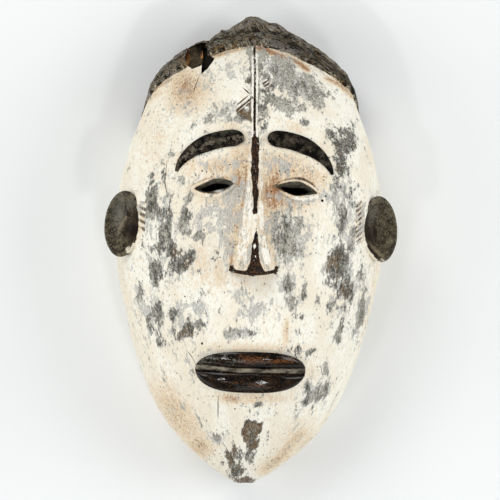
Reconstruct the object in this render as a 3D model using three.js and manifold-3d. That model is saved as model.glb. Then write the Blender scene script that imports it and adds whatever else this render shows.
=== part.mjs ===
// A carved wooden face mask, hollowed behind for the wearer, lying on its rim with the face up.
// Millimetres. +Y runs from chin to crown, +Z out of the face, and the rim lies on the plane z = 0.
// The whole mask is one piece of wood: a domed face under a two-tier band of hair, with crescent
// brows, pierced eye slits, a long narrow nose, closed lips and two cupped ears. The hair band is
// broken through on the side of the viewer's left.

import * as THREE from "three";
import { mergeVertices } from "three/addons/utils/BufferGeometryUtils.js";
import Module from "manifold-3d";

const wasm = await Module();
wasm.setup();

// Outline of the bare head seen from the front: half width at each height, crown to chin.
const OUTLINE = [
  [0, 168], [21, 163], [39.5, 153], [51, 146.5], [64.7, 136.7], [74.3, 124.5], [79.3, 109.5],
  [85.8, 92.2], [94.2, 66], [100.2, 36], [101.2, 8], [97.8, -24], [86, -73.5], [69.7, -116],
  [46.8, -148], [13, -174.5], [0, -177.5],
];
const CENTRE_Y = 15;

// The head is a dome over that outline, standing on a side wall that draws in towards the rim.
const SIDE_WALL = 30;
const DOME_HEIGHT = 90;
const DOME_POWER = 2.3;
const RIM_TAPER = 0.035;

// The head is built in rings from the middle of the face; the last of DOME_RINGS is the outline.
const HEAD_RINGS = 23;
const DOME_RINGS = 19;
const HEAD_SEGMENTS = 72;
const DOME_SHARE = DOME_RINGS / HEAD_RINGS;

// Thickness of the wood at the sides, at the crown and chin, and under the face.
const WALL_SIDE = 11;
const WALL_END = 14;
const WALL_FACE = 12;
const HOLLOW_POWER = 2.2;

// Depth to which each carved feature runs into the head, so that all of it is one solid.
const ROOT = 5;

const DEG = Math.PI / 180;
const clamp = (t, low = 0, high = 1) => Math.min(Math.max(t, low), high);
const smooth = (t) => clamp(t) ** 2 * (3 - 2 * clamp(t));
const mix = (a, b, t) => a + (b - a) * t;

// The outline as a smooth curve, kept as the distance from the centre at every half degree.
const [crownSide, chinSide] = [OUTLINE.at(1), OUTLINE.at(-2)];
const outlineCurve = new THREE.SplineCurve(
  [[-crownSide[0], crownSide[1]], ...OUTLINE, [-chinSide[0], chinSide[1]]].map(
    ([x, y]) => new THREE.Vector2(x, y),
  ),
);
const outlineSamples = outlineCurve
  .getPoints(900)
  .filter((p) => p.x >= 0)
  .map((p) => ({
    angle: Math.atan2(p.x, p.y - CENTRE_Y),
    radius: Math.hypot(p.x, p.y - CENTRE_Y),
  }));
const OUTLINE_STEP = 0.5 * DEG;
const outlineRadii = [];
for (let i = 0, s = 0; i <= 360; i++) {
  const angle = i * OUTLINE_STEP;
  while (s < outlineSamples.length - 2 && outlineSamples[s + 1].angle < angle) s++;
  const [a, b] = [outlineSamples[s], outlineSamples[s + 1]];
  const share = clamp((angle - a.angle) / Math.max(b.angle - a.angle, 1e-9));
  outlineRadii.push(mix(a.radius, b.radius, share));
}

// The same distances averaged over a wide angle: the dome takes the outline's corners only near it.
const SOFTENING = 24;
const softRadii = outlineRadii.map((_, i) => {
  let sum = 0;
  for (let j = i - SOFTENING; j <= i + SOFTENING; j++) sum += outlineRadii[360 - Math.abs(360 - Math.abs(j))];
  return sum / (2 * SOFTENING + 1);
});

// Distance from the centre to the ring at fraction k of the outline; phi is measured from the crown.
function ringRadius(phi, k = 1) {
  const place = clamp(Math.abs(phi) / OUTLINE_STEP, 0, 359.999);
  const i = Math.floor(place);
  const at = (radii) => mix(radii[i], radii[i + 1], place - i);
  return mix(at(softRadii), at(outlineRadii), k ** 4);
}

// Low relief of the face: sunken eye sockets and cheeks, and a swell behind the lips.
const SOCKET = { x: 29, y: 52, halfWidth: 27, halfHeight: 21, depth: 6 };
const CHEEK = { x: 27, y: 6, halfWidth: 17, halfHeight: 30, depth: 3 };
const MOUTH = { y: -88.5, halfWidth: 40.5, upper: 13.3, lower: 17 };
const MUZZLE = { y: -84, halfWidth: 52, halfHeight: 36, height: 5 };

function swell(x, y, spot, cx = 0) {
  const d = ((x - cx) / spot.halfWidth) ** 2 + ((y - spot.y) / spot.halfHeight) ** 2;
  return Math.exp(-(d ** 1.25));
}

function relief(x, y) {
  const side = Math.abs(x);
  return (
    MUZZLE.height * swell(x, y, MUZZLE) -
    SOCKET.depth * swell(side, y, SOCKET, SOCKET.x) -
    CHEEK.depth * swell(side, y, CHEEK, CHEEK.x)
  );
}

// Height of the head's surface above the rim at a place on the face.
function surfaceZ(x, y) {
  const phi = Math.atan2(x, y - CENTRE_Y);
  let k = 1;
  for (let i = 0; i < 5; i++) k = clamp(Math.hypot(x, y - CENTRE_Y) / ringRadius(phi, k));
  return SIDE_WALL + DOME_HEIGHT * Math.sqrt(1 - k ** DOME_POWER) + relief(x, y);
}

// A point on the head: mu runs from the middle of the face (0) over the outline to the rim (1).
function headPoint(mu, phi) {
  let k, z;
  if (mu <= DOME_SHARE) {
    k = Math.sin((mu / DOME_SHARE) * (Math.PI / 2));
    z = SIDE_WALL + DOME_HEIGHT * Math.sqrt(Math.max(0, 1 - k ** DOME_POWER));
  } else {
    const down = (mu - DOME_SHARE) / (1 - DOME_SHARE);
    k = 1 - RIM_TAPER * down * down;
    z = SIDE_WALL * (1 - down);
  }
  const r = k * ringRadius(phi, k);
  const [x, y] = [r * Math.sin(phi), CENTRE_Y + r * Math.cos(phi)];
  return new THREE.Vector3(x, y, mu < DOME_SHARE ? z + relief(x, y) * (1 - k ** 8) : z);
}

function headNormal(mu, phi) {
  const e = 0.004;
  const along = headPoint(Math.min(mu + e, 1), phi).sub(headPoint(mu - e, phi));
  const round = headPoint(mu, phi + e).sub(headPoint(mu, phi - e));
  const n = round.cross(along).normalize();
  const out = headPoint(mu, phi).sub(new THREE.Vector3(0, CENTRE_Y, 0));
  return n.dot(out) < 0 ? n.negate() : n;
}

// A closed geometry as a solid, its triangles turned the right way out.
function solidOf(geometry) {
  const bare = geometry.clone();
  bare.deleteAttribute("normal");
  bare.deleteAttribute("uv");
  const merged = mergeVertices(bare, 1e-4);
  const index = merged.index.array;
  const make = (outward) => {
    const triVerts = [];
    for (let i = 0; i < index.length; i += 3) {
      const [a, b, c] = [index[i], index[i + outward], index[i + 3 - outward]];
      if (a !== b && b !== c && c !== a) triVerts.push(a, b, c);
    }
    return new wasm.Manifold(
      new wasm.Mesh({
        numProp: 3,
        vertProperties: Float32Array.from(merged.attributes.position.array),
        triVerts: Uint32Array.from(triVerts),
      }),
    );
  };
  const solid = make(1);
  return solid.volume() < 0 ? make(2) : solid;
}

function closedSolid(points, triangles) {
  const geometry = new THREE.BufferGeometry();
  geometry.setAttribute("position", new THREE.Float32BufferAttribute(points.flat(), 3));
  geometry.setIndex(triangles.flat());
  return solidOf(geometry);
}

// A slab between two grids of points, top(u, v) and bottom(u, v), with walls round its edge.
function slab(nu, nv, top, bottom) {
  const points = [];
  for (const layer of [top, bottom])
    for (let i = 0; i <= nu; i++) for (let j = 0; j <= nv; j++) points.push(layer(i / nu, j / nv));
  const at = (layer, i, j) => (layer * (nu + 1) + i) * (nv + 1) + j;
  const faces = [];
  const quad = (a, b, c, d) => faces.push([a, b, c], [a, c, d]);
  for (let i = 0; i < nu; i++)
    for (let j = 0; j < nv; j++) {
      quad(at(0, i, j), at(0, i + 1, j), at(0, i + 1, j + 1), at(0, i, j + 1));
      quad(at(1, i, j), at(1, i, j + 1), at(1, i + 1, j + 1), at(1, i + 1, j));
    }
  for (let i = 0; i < nu; i++) {
    quad(at(1, i, 0), at(1, i + 1, 0), at(0, i + 1, 0), at(0, i, 0));
    quad(at(0, i, nv), at(0, i + 1, nv), at(1, i + 1, nv), at(1, i, nv));
  }
  for (let j = 0; j < nv; j++) {
    quad(at(0, 0, j), at(0, 0, j + 1), at(1, 0, j + 1), at(1, 0, j));
    quad(at(1, nu, j), at(1, nu, j + 1), at(0, nu, j + 1), at(0, nu, j));
  }
  return closedSolid(points, faces);
}

// A cap of rings round a pole, closed by a flat fan across its last ring.
function cap(rings, segments, point, floorZ) {
  const points = [point(0, 0), [0, CENTRE_Y, floorZ]];
  const at = (ring, s) => 2 + (ring - 1) * segments + (s % segments);
  for (let ring = 1; ring <= rings; ring++)
    for (let s = 0; s < segments; s++)
      points.push(point(ring / rings, -Math.PI + (2 * Math.PI * s) / segments));
  const faces = [];
  for (let s = 0; s < segments; s++) {
    faces.push([0, at(1, s + 1), at(1, s)], [1, at(rings, s), at(rings, s + 1)]);
    for (let ring = 1; ring < rings; ring++) {
      faces.push([at(ring, s), at(ring, s + 1), at(ring + 1, s + 1)]);
      faces.push([at(ring, s), at(ring + 1, s + 1), at(ring + 1, s)]);
    }
  }
  return closedSolid(points, faces);
}

// The head as a full block.
function headBlock() {
  return cap(HEAD_RINGS, HEAD_SEGMENTS, (t, phi) => headPoint(t, phi).toArray(), 0);
}

// The hollow behind the face follows the head, one wall thickness inside it.
const HOLLOW_RINGS = 12;
const HOLLOW_SEGMENTS = 36;

function hollow() {
  const point = (t, phi) => {
    const wall = mix(WALL_SIDE, WALL_END, Math.abs(Math.cos(phi)) ** 3);
    const top = SIDE_WALL + DOME_HEIGHT - WALL_FACE;
    const straight = 0.3 * SIDE_WALL;
    const bend = Math.min(t / 0.9, 1) * (Math.PI / 2);
    const k = Math.sin(bend);
    const r = k * ((1 - RIM_TAPER) * ringRadius(phi) - wall);
    const z = straight + (top - straight) * Math.sqrt(Math.max(0, 1 - k ** HOLLOW_POWER));
    const below = t > 0.9 ? -1 : z;
    return [r * Math.sin(phi), CENTRE_Y + r * Math.cos(phi), below];
  };
  return cap(HOLLOW_RINGS, HOLLOW_SEGMENTS, point, -1);
}

// Hair: a front roll above the brow and a rear tier behind it, from one side of the rim over
// the crown to the other, with a short crest in the middle of the rear tier. It thins to the ends.
const HAIR = { end: 53, outlineAt: 40.8, thinFrom: 20, thinTo: 48, thinnest: 0.22 };
const HAIRLINE = { start: 62.7, slope: 10 };
const ROLL = { width: 17, height: 4.2 };
const TIER = { groove: 2.6, height: 5, crest: 4.5, crestHalfWidth: 10 };

// mu of the hairline at an angle from the crown.
function hairline(phi) {
  const a = Math.abs(phi) / DEG;
  if (a > HAIR.outlineAt)
    return mix(DOME_SHARE, 0.995, (a - HAIR.outlineAt) / (HAIR.end - HAIR.outlineAt));
  const t = a / HAIR.outlineAt;
  const bend = mix(HAIRLINE.start, 90 - HAIRLINE.slope, t ** 8) + HAIRLINE.slope * t ** 1.5;
  return (DOME_SHARE * bend) / 90;
}

function hairHeight(distance, phi, x) {
  const a = Math.abs(phi) / DEG;
  const thin = mix(1, HAIR.thinnest, smooth((a - HAIR.thinFrom) / (HAIR.thinTo - HAIR.thinFrom)));
  const width = ROLL.width * mix(1, 0.5, (a / HAIR.end) ** 2);
  if (distance <= width) {
    const across = (2 * distance) / width - 1;
    return thin * ROLL.height * Math.sqrt(1 - 0.82 * across ** 6);
  }
  const rise = smooth((distance - width) / TIER.groove);
  const crest = TIER.crest * Math.exp(-((x / TIER.crestHalfWidth) ** 2));
  return thin * mix(ROLL.height * 0.42, TIER.height + crest, rise);
}

function hairBand() {
  const STEPS = 40;
  const layer = (lift) => (u, v) => {
    const phi = mix(-HAIR.end, HAIR.end, u) * DEG;
    const start = hairline(phi);
    const mu = mix(start, 1, v);
    const base = headPoint(mu, phi);
    let distance = 0;
    for (let i = 0, last = headPoint(start, phi); i < STEPS; i++) {
      const next = headPoint(mix(start, mu, (i + 1) / STEPS), phi);
      distance += next.distanceTo(last);
      last = next;
    }
    const n = headNormal(Math.min(mu, 0.995), phi);
    const height = lift ? hairHeight(distance, phi, base.x) : -ROOT;
    const p = base.add(n.multiplyScalar(height));
    return [p.x, p.y, v === 1 ? 0 : Math.max(p.z, 0)];
  };
  return slab(34, 11, layer(true), layer(false));
}

// A feature raised from the face: place(u, v) gives x and y, and height(u, v) stands above the head.
function raised(nu, nv, place, height, lean = 0) {
  const top = (u, v) => {
    const [x, y] = place(u, v);
    return [x, y, surfaceZ(x, y) + height(u, v)];
  };
  const bottom = (u, v) => {
    const [x, y] = place(u, v);
    return [x, y - lean * (u === 1 ? 1 : 0), surfaceZ(x, y) - ROOT];
  };
  return slab(nu, nv, top, bottom);
}

// Nose: a long narrow ridge from between the brows, widening to a bowed base.
const NOSE = { top: 84, tip: -20, wing: 6, topHalf: 5.3, baseHalf: 17.9, ridgeHalf: 1.6 };
const NOSE_RELIEF = { top: 2.5, tip: 21, wing: 3.5, underCut: 3 };

function nose() {
  const place = (u, v) => {
    const side = 2 * v - 1;
    const half = mix(NOSE.topHalf, NOSE.baseHalf, u ** 1.8);
    const base = mix(NOSE.tip, NOSE.tip + NOSE.wing, side * side);
    return [side * half, mix(NOSE.top, base, u)];
  };
  const height = (u, v) => {
    const half = mix(NOSE.topHalf, NOSE.baseHalf, u ** 1.8);
    const ridge = NOSE.ridgeHalf / half;
    const side = Math.max(Math.abs(2 * v - 1) - ridge, 0) / (1 - ridge);
    const crest = mix(NOSE_RELIEF.top, NOSE_RELIEF.tip, u ** 1.15);
    const wing = NOSE_RELIEF.wing * u ** 8 * smooth(2.2 * side) * (1 - side ** 6);
    return mix(0.2, crest, (1 - side) ** 1.25) + wing;
  };
  return raised(14, 12, place, height, NOSE_RELIEF.underCut);
}

// Brows: crescents on a quarter ellipse, blunt by the nose and drawn out to a point.
const BROW = { x: 11, y: 50, across: 47, up: 30.5, tip: 10 * DEG, root: 93 * DEG };
const BROW_RELIEF = { half: 6.2, height: 3 };

function brow(side) {
  const place = (u, v) => {
    const t = Math.sin(u * 90 * DEG);
    const angle = mix(BROW.tip, BROW.root, t);
    const swelling = Math.min(1, 0.16 + 1.35 * t ** 0.85);
    const end = Math.sqrt(1 - clamp((t - 0.87) / 0.131) ** 2);
    const out = (2 * v - 1) * Math.max(BROW_RELIEF.half * swelling * end, 0.4);
    const normal = new THREE.Vector2(Math.cos(angle) / BROW.across, Math.sin(angle) / BROW.up);
    normal.normalize();
    return [
      side * (BROW.x + BROW.across * Math.cos(angle) + out * normal.x),
      BROW.y + BROW.up * Math.sin(angle) + out * normal.y,
    ];
  };
  const height = (u, v) =>
    BROW_RELIEF.height * (1 - 0.6 * Math.abs(2 * v - 1) ** 3) * mix(0.6, 1, smooth(3 * u));
  return raised(16, 5, place, height);
}

// Eyes: almond lids in low relief, pierced by a slit whose upper wall slopes down into the hollow.
const EYE = { x: 31, y: 44, lidHalf: 18, lidUp: 8, lidDown: 8.5, lidHeight: 2.4, slant: -6 * DEG };
const SLIT = { half: 13.6, up: 4.6, down: 5, slope: 0.45, above: 6, below: 17 };

function eyePlace(side, along, up) {
  return [
    side * (EYE.x + along * Math.cos(EYE.slant) - up * Math.sin(EYE.slant)),
    EYE.y + along * Math.sin(EYE.slant) + up * Math.cos(EYE.slant),
  ];
}

function eyelids(side) {
  const place = (u, v) => {
    const along = 2 * u - 1;
    const bow = Math.max(1 - Math.abs(along) ** 1.9, 0.03);
    return eyePlace(side, along * EYE.lidHalf, mix(-EYE.lidDown, EYE.lidUp, v) * bow);
  };
  const height = (u, v) => {
    const [a, b] = [2 * u - 1, 2 * v - 1];
    return 0.3 + EYE.lidHeight * (1 - a ** 4) * (1 - 0.7 * b ** 4);
  };
  return raised(14, 6, place, height);
}

function eyeSlit(side) {
  const layer = (height) => (u, v) => {
    const along = 2 * u - 1;
    const bow = Math.max(1 - Math.abs(along) ** 2.1, 0.04);
    const up = v > 0.5 ? SLIT.up + SLIT.slope * height : -SLIT.down;
    const [x, y] = eyePlace(side, along * SLIT.half, up * bow);
    return [x, y, surfaceZ(side * EYE.x, EYE.y) + height];
  };
  return slab(14, 1, layer(SLIT.above), layer(-SLIT.below));
}

// Lips: two long swells that meet along a narrow raised seam, in an oval that stands off the face.
const LIPS = { height: 4.6, crease: 1.4, seam: 2.6 };

function lips() {
  const place = (u, v) => {
    const along = Math.sin(mix(-90, 90, u) * DEG);
    const bow = Math.max((1 - Math.abs(along) ** 2.7) ** 0.5, 0.05);
    const up = v < 0.5 ? -MOUTH.lower * (1 - 2 * v) : MOUTH.upper * (2 * v - 1);
    return [along * MOUTH.halfWidth, MOUTH.y + up * bow];
  };
  const height = (u, v) => {
    const across = Math.abs(2 * v - 1);
    const along = Math.abs(2 * u - 1);
    const lip = Math.sin(clamp((across - 0.2) / 0.8) * Math.PI * 0.86) ** 0.6;
    const seam = mix(LIPS.seam, LIPS.crease, across / 0.2);
    const body = across < 0.2 ? seam : mix(LIPS.crease, LIPS.height, lip);
    return body * (1 - 0.45 * along ** 5);
  };
  return raised(20, 16, place, height);
}

// The thin rib down the middle of the forehead.
const RIB = { top: 151, bottom: 82, half: 2.2, height: 1.3 };

function foreheadRib() {
  const place = (u, v) => [(2 * v - 1) * RIB.half, mix(RIB.top, RIB.bottom, u)];
  return raised(10, 2, place, (u, v) => RIB.height * (v === 0.5 ? 1 : 0.5));
}

// Ears: ovals standing out from the sides of the head, turned half outward, each hollowed by a cup.
const EAR = { x: 96.8, y: 16.4, z: 73, half: 16.5, halfHeight: 24.9, lean: 35 * DEG, tilt: 7 * DEG };
const EAR_EDGE = [[0, 0], [0.93, 0], [1, -1.6], [0.95, -3.2], [0.78, -6.5], [0.45, -12], [0, -15]];
const EAR_CUP = [[0, -7], [0.3, -6.3], [0.56, -4.4], [0.76, -1.6], [0.86, 2], [0.9, 9], [0, 9]];

function ovalTurning(side, profile) {
  const curve = profile.map(([r, n]) => new THREE.Vector2(r, n)).reverse();
  const turned = new THREE.LatheGeometry(curve, 24);
  const frame = new THREE.Matrix4().makeBasis(
    new THREE.Vector3(Math.cos(EAR.lean), 0, -Math.sin(EAR.lean)),
    new THREE.Vector3(Math.sin(EAR.lean), 0, Math.cos(EAR.lean)),
    new THREE.Vector3(0, 1, 0),
  );
  turned.scale(EAR.half, 1, EAR.halfHeight).rotateY(-EAR.tilt);
  turned.applyMatrix4(frame).translate(EAR.x, EAR.y, EAR.z).scale(side, 1, 1);
  return solidOf(turned);
}

// The break: wood lost between hair and forehead, a pocket with a jagged hole in its lower corner
// that opens into the hollow, and a crack that runs on through the hair.
const POCKET = {
  outline: [
    [-51.8, 142.5], [-49.2, 136.8], [-46.8, 132.6], [-39.8, 136.4], [-35.6, 131], [-32.2, 135.4],
    [-29.8, 140], [-34.4, 141.6], [-35.2, 148], [-37.5, 152], [-43, 151.5], [-48.6, 148.4],
  ],
  floor: 50,
};
const HOLE = { outline: [[-46.6, 133], [-40.6, 129.6], [-39.2, 128], [-35.4, 131], [-40, 137]], floor: 20 };
const CRACK = { outline: [[-34.6, 146], [-34.9, 163], [-37.2, 163], [-36.8, 146]], floor: 34 };

function cutDown({ outline, floor }) {
  const shape = new THREE.Shape(outline.map(([x, y]) => new THREE.Vector2(x, y)));
  const depth = SIDE_WALL + DOME_HEIGHT - floor;
  const block = new THREE.ExtrudeGeometry(shape, { depth, bevelEnabled: false });
  return solidOf(block.translate(0, 0, floor));
}

const sides = [-1, 1];
let wood = headBlock();
for (const piece of [hairBand(), nose(), foreheadRib(), lips()]) wood = wood.add(piece);
for (const side of sides) wood = wood.add(brow(side)).add(eyelids(side)).add(ovalTurning(side, EAR_EDGE));
for (const side of sides) wood = wood.subtract(ovalTurning(side, EAR_CUP)).subtract(eyeSlit(side));
for (const cut of [hollow(), cutDown(POCKET), cutDown(HOLE), cutDown(CRACK)]) wood = wood.subtract(cut);

const carved = wood.getMesh();
const geometry = new THREE.BufferGeometry();
geometry.setAttribute("position", new THREE.BufferAttribute(Float32Array.from(carved.vertProperties), 3));
geometry.setIndex(new THREE.BufferAttribute(Uint32Array.from(carved.triVerts), 1));
geometry.computeVertexNormals();

const chalkedWood = new THREE.MeshStandardMaterial({ color: 0xe9dfc9, roughness: 0.82, metalness: 0 });
const mask = new THREE.Mesh(geometry, chalkedWood);
mask.name = "mask";

const part = new THREE.Group();
part.add(mask);

export default part;
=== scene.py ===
"""A carved wooden face mask with a clay-white face, lying on its back rim with the face up.

The shapes are worked out in millimetres and written to the meshes in metres. +Y runs from chin to
crown, +Z out of the face, and the rim lies on the plane z = 0.
"""

import bpy
import numpy as np
from mathutils import Matrix, Vector


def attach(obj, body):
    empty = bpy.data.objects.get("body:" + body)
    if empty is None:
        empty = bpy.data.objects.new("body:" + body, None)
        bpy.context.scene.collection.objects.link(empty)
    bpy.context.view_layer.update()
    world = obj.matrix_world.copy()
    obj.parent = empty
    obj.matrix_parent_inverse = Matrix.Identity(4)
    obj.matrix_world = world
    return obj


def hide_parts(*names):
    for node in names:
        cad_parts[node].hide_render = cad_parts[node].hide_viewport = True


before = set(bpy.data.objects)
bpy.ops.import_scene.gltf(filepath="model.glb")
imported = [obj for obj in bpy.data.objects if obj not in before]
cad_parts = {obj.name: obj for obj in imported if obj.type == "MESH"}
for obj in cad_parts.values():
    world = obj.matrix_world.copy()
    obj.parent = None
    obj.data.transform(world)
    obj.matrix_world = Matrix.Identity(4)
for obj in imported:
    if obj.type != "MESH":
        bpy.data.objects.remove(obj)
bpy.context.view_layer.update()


# The mask lies on a pale floor. The camera hangs two metres above it and looks straight down, a
# little from the side of the left ear. The light is soft, and comes mostly from above the left brow.
MM = 0.001
VIEW_DISTANCE = 2.0
VIEW_SIDEWAYS = np.radians(2.3)
VIEW_TURN = np.radians(1.2)
VIEW_AIM = (0.76, -1.14, 30.0)
VIEW_WIDTH = 0.380
SENSOR_WIDTH = 36.0

camera_data = bpy.data.cameras.new("overhead camera")
camera_data.sensor_width = SENSOR_WIDTH
camera_data.lens = SENSOR_WIDTH * VIEW_DISTANCE / VIEW_WIDTH
camera = bpy.data.objects.new("overhead camera", camera_data)
back = Vector((-np.sin(VIEW_SIDEWAYS), 0, np.cos(VIEW_SIDEWAYS)))
right = Vector((-np.sin(VIEW_TURN), np.cos(VIEW_TURN), 0)).cross(back).normalized()
up = back.cross(right)
aim = right * VIEW_AIM[0] * MM + up * VIEW_AIM[1] * MM + Vector((0, 0, VIEW_AIM[2] * MM))
turned = Matrix((right, up, back)).transposed().to_4x4()
camera.matrix_world = Matrix.Translation(aim + back * VIEW_DISTANCE) @ turned
bpy.context.scene.collection.objects.link(camera)
bpy.context.scene.camera = camera
bpy.context.scene.view_settings.view_transform = "Standard"


def linear(red, green, blue):
    """A colour given from 0 to 255, as the linear values that a shader takes."""
    c = np.array([red, green, blue]) / 255
    return (*np.where(c <= 0.04045, c / 12.92, ((c + 0.055) / 1.055) ** 2.4).tolist(), 1.0)


LAMP_TARGET = Vector((0, 0, 0.05))


def soft_lamp(name, place, size, power, colour=(1.0, 1.0, 1.0)):
    """A rectangular lamp of the given width and height, turned to face the mask."""
    data = bpy.data.lights.new(name, "AREA")
    data.shape = "RECTANGLE"
    data.size, data.size_y = size
    data.energy = power
    data.color = colour
    lamp = bpy.data.objects.new(name, data)
    lamp.location = place
    lamp.rotation_euler = (LAMP_TARGET - Vector(place)).to_track_quat("-Z", "Y").to_euler()
    bpy.context.scene.collection.objects.link(lamp)


soft_lamp("window light", (-1.5, 2.1, 2.6), (1.7, 1.7), 39.8, (1.0, 0.99, 0.97))
soft_lamp("crown light", (0.3, 3.0, 1.7), (2.0, 2.0), 14.0)
soft_lamp("left glint light", (-1.6, -1.95, 2.9), (0.5, 0.14), 15.0)
soft_lamp("right glint light", (1.0, -1.95, 2.9), (0.5, 0.14), 17.0)
soft_lamp("right side light", (2.8, 0.2, 1.8), (2.0, 2.0), 54.0)
soft_lamp("left side light", (-3.0, -0.3, 1.7), (2.0, 2.0), 41.0)
soft_lamp("chin light", (0.2, -2.9, 1.8), (2.0, 2.0), 14.0)
world = bpy.data.worlds.new("pale room")
world.use_nodes = True
world.node_tree.nodes["Background"].inputs["Color"].default_value = (0.96, 0.98, 1.0, 1.0)
world.node_tree.nodes["Background"].inputs["Strength"].default_value = 0.27
bpy.context.scene.world = world


def feed(tree, node, inputs):
    """Sets a node's inputs. Each is a value, or the socket of another node."""
    for name, value in inputs.items():
        if isinstance(value, bpy.types.NodeSocket):
            tree.links.new(value, node.inputs[name])
        else:
            node.inputs[name].default_value = value


def add(tree, kind, inputs=None, **settings):
    """One more node in a tree, with its inputs and its settings."""
    node = tree.nodes.new(kind)
    for name, value in settings.items():
        setattr(node, name, value)
    feed(tree, node, inputs or {})
    return node


def noise(tree, place, scale, detail, roughness=0.5):
    """The grey value of one noise texture at a place."""
    inputs = {"Vector": place, "Scale": scale, "Detail": detail, "Roughness": roughness}
    return add(tree, "ShaderNodeTexNoise", inputs).outputs["Fac"]


def blend(tree, share, a, b):
    """The output of one colour Mix node: a where the share is 0, b where it is 1."""
    return add(tree, "ShaderNodeMix", {0: share, 6: a, 7: b}, data_type="RGBA").outputs[2]


def finish_of(name):
    """A new material, its node tree, its Principled shader, and places in metres to read noise at."""
    material = bpy.data.materials.new(name)
    material.use_nodes = True
    tree = material.node_tree
    return material, tree, tree.nodes["Principled BSDF"], add(tree, "ShaderNodeTexCoord").outputs["Object"]


def settle(tree, shader, colour, roughness, specular=0.5, bump=None):
    """Joins a finish to its shader. The bump is a height, its depth in metres and its strength."""
    inputs = {"Base Color": colour, "Roughness": roughness, "Specular IOR Level": specular}
    if bump:
        raised_by = dict(zip(("Height", "Distance", "Strength"), bump))
        inputs["Normal"] = add(tree, "ShaderNodeBump", raised_by).outputs[0]
    feed(tree, shader, inputs)


floor_finish, tree, shader, place = finish_of("pale floor")
mottle = noise(tree, place, 9.0, 3.0)
settle(tree, shader, blend(tree, mottle, linear(233, 235, 235), linear(235, 237, 237)), 0.9)
FLOOR_HALF = 4
floor_mesh = bpy.data.meshes.new("floor")
corners = [(x * FLOOR_HALF, y * FLOOR_HALF, 0) for x, y in ((-1, -1), (1, -1), (1, 1), (-1, 1))]
floor_mesh.from_pydata(corners, [], [(0, 1, 2, 3)])
floor_mesh.materials.append(floor_finish)
floor = bpy.data.objects.new("floor", floor_mesh)
bpy.context.scene.collection.objects.link(floor)


# One block of light wood, carved to a domed face over an almond outline, on a low side wall that
# draws in to the rim. Eye sockets and cheeks are cut back, and the wood swells behind the lips.
OUTLINE = [
    (0, 168), (21, 163), (39.5, 153), (51, 146.5), (64.7, 136.7), (74.3, 124.5), (79.3, 109.5),
    (85.8, 92.2), (94.2, 66), (100.2, 36), (101.2, 8), (97.8, -24), (86, -73.5), (69.7, -116),
    (46.8, -148), (13, -174.5), (0, -177.5),
]
CENTRE_Y = 15
SIDE_WALL = 30
DOME_HEIGHT = 90
DOME_POWER = 2.3
RIM_TAPER = 0.035
DOME_SHARE = 19 / 23
ROOT = 5


def clamp(t, low=0.0, high=1.0):
    """t held between low and high."""
    return np.clip(t, low, high)


def smooth(t):
    """A soft step from 0 to 1: t * t * (3 - 2 * t), with t held between 0 and 1."""
    t = clamp(t)
    return t * t * (3 - 2 * t)


def mix(a, b, t):
    """a where t is 0, b where t is 1, and straight between them."""
    return a + (b - a) * t


def drifting(a, b, seed):
    """Smooth seeded noise in -1 to 1: random values on a unit lattice, joined by soft steps."""
    lattice = np.random.default_rng(seed).uniform(-1, 1, (64, 64))
    i, j = np.floor(a).astype(int), np.floor(b).astype(int)
    s, t = smooth(a - i), smooth(b - j)
    near = mix(lattice[i % 64, j % 64], lattice[(i + 1) % 64, j % 64], s)
    far = mix(lattice[i % 64, (j + 1) % 64], lattice[(i + 1) % 64, (j + 1) % 64], s)
    return mix(near, far, t)


def catmull_rom(a, b, c, d, t):
    """The Catmull-Rom curve from b (t = 0) to c (t = 1), led by a before it and d after it."""
    return 0.5 * (
        2 * b + (c - a) * t + (2 * a - 5 * b + 4 * c - d) * t**2 + (3 * b - a - 3 * c + d) * t**3
    )


def outline_radii():
    """Distance from the centre to the outline at every half degree from the crown.

    The outline is a Catmull-Rom curve through OUTLINE, mirrored at both ends, sampled finely.
    """
    knots = np.array([(-21, 163), *OUTLINE, (-13, -174.5)], float)
    a, b, c, d = (knots[i:len(knots) - 3 + i, None, :] for i in range(4))
    t = np.linspace(0, 1, 51)[None, :, None]
    x, y = catmull_rom(a, b, c, d, t).reshape(-1, 2).T
    angle = np.arctan2(x, y - CENTRE_Y)
    order = np.argsort(angle)
    return np.interp(np.radians(np.arange(361) / 2), angle[order], np.hypot(x, y - CENTRE_Y)[order])


SHARP_RADII = outline_radii()
# The same distances averaged over a wide angle: the dome takes the outline's corners only near it.
mirrored = np.concatenate([SHARP_RADII[24:0:-1], SHARP_RADII, SHARP_RADII[-2:-26:-1]])
SOFT_RADII = np.convolve(mirrored, np.ones(49) / 49, "valid")


def ring_radius(phi, k=1.0):
    """Distance from the centre to the ring at fraction k of the outline, phi from the crown."""
    place = np.degrees(np.abs(phi)) * 2
    steps = np.arange(361)
    return mix(np.interp(place, steps, SOFT_RADII), np.interp(place, steps, SHARP_RADII), k**4)


# The swell behind the lips, the eye sockets and the hollows of the cheeks. Each is the middle's x and
# y, half width and half height.
LIP_SWELL = (0, -84, 52, 36)
EYE_SOCKET = (29, 52, 27, 21)
CHEEK_HOLLOW = (27, 6, 17, 30)


def swell(x, y, centre_x, centre_y, half_width, half_height):
    """A soft round hill: exp(-d ** 1.25), d the squared distance in half sizes."""
    d = ((x - centre_x) / half_width) ** 2 + ((y - centre_y) / half_height) ** 2
    return np.exp(-(d**1.25))


def relief(x, y):
    """The swell behind the lips, less the eye sockets and the hollows of the cheeks."""
    side = np.abs(x)
    return 5 * swell(x, y, *LIP_SWELL) - 6 * swell(side, y, *EYE_SOCKET) - 3 * swell(side, y, *CHEEK_HOLLOW)


# Long shallow facets of the carver's blade, then two kinds of finer unevenness: depth, width, length,
# a shift along the noise, and its seed.
TOOL_MARKS = [(0.38, 8, 30, 0, 1), (0.16, 3.6, 10, 9, 2), (0.07, 1.9, 3.1, 0, 3)]


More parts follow.
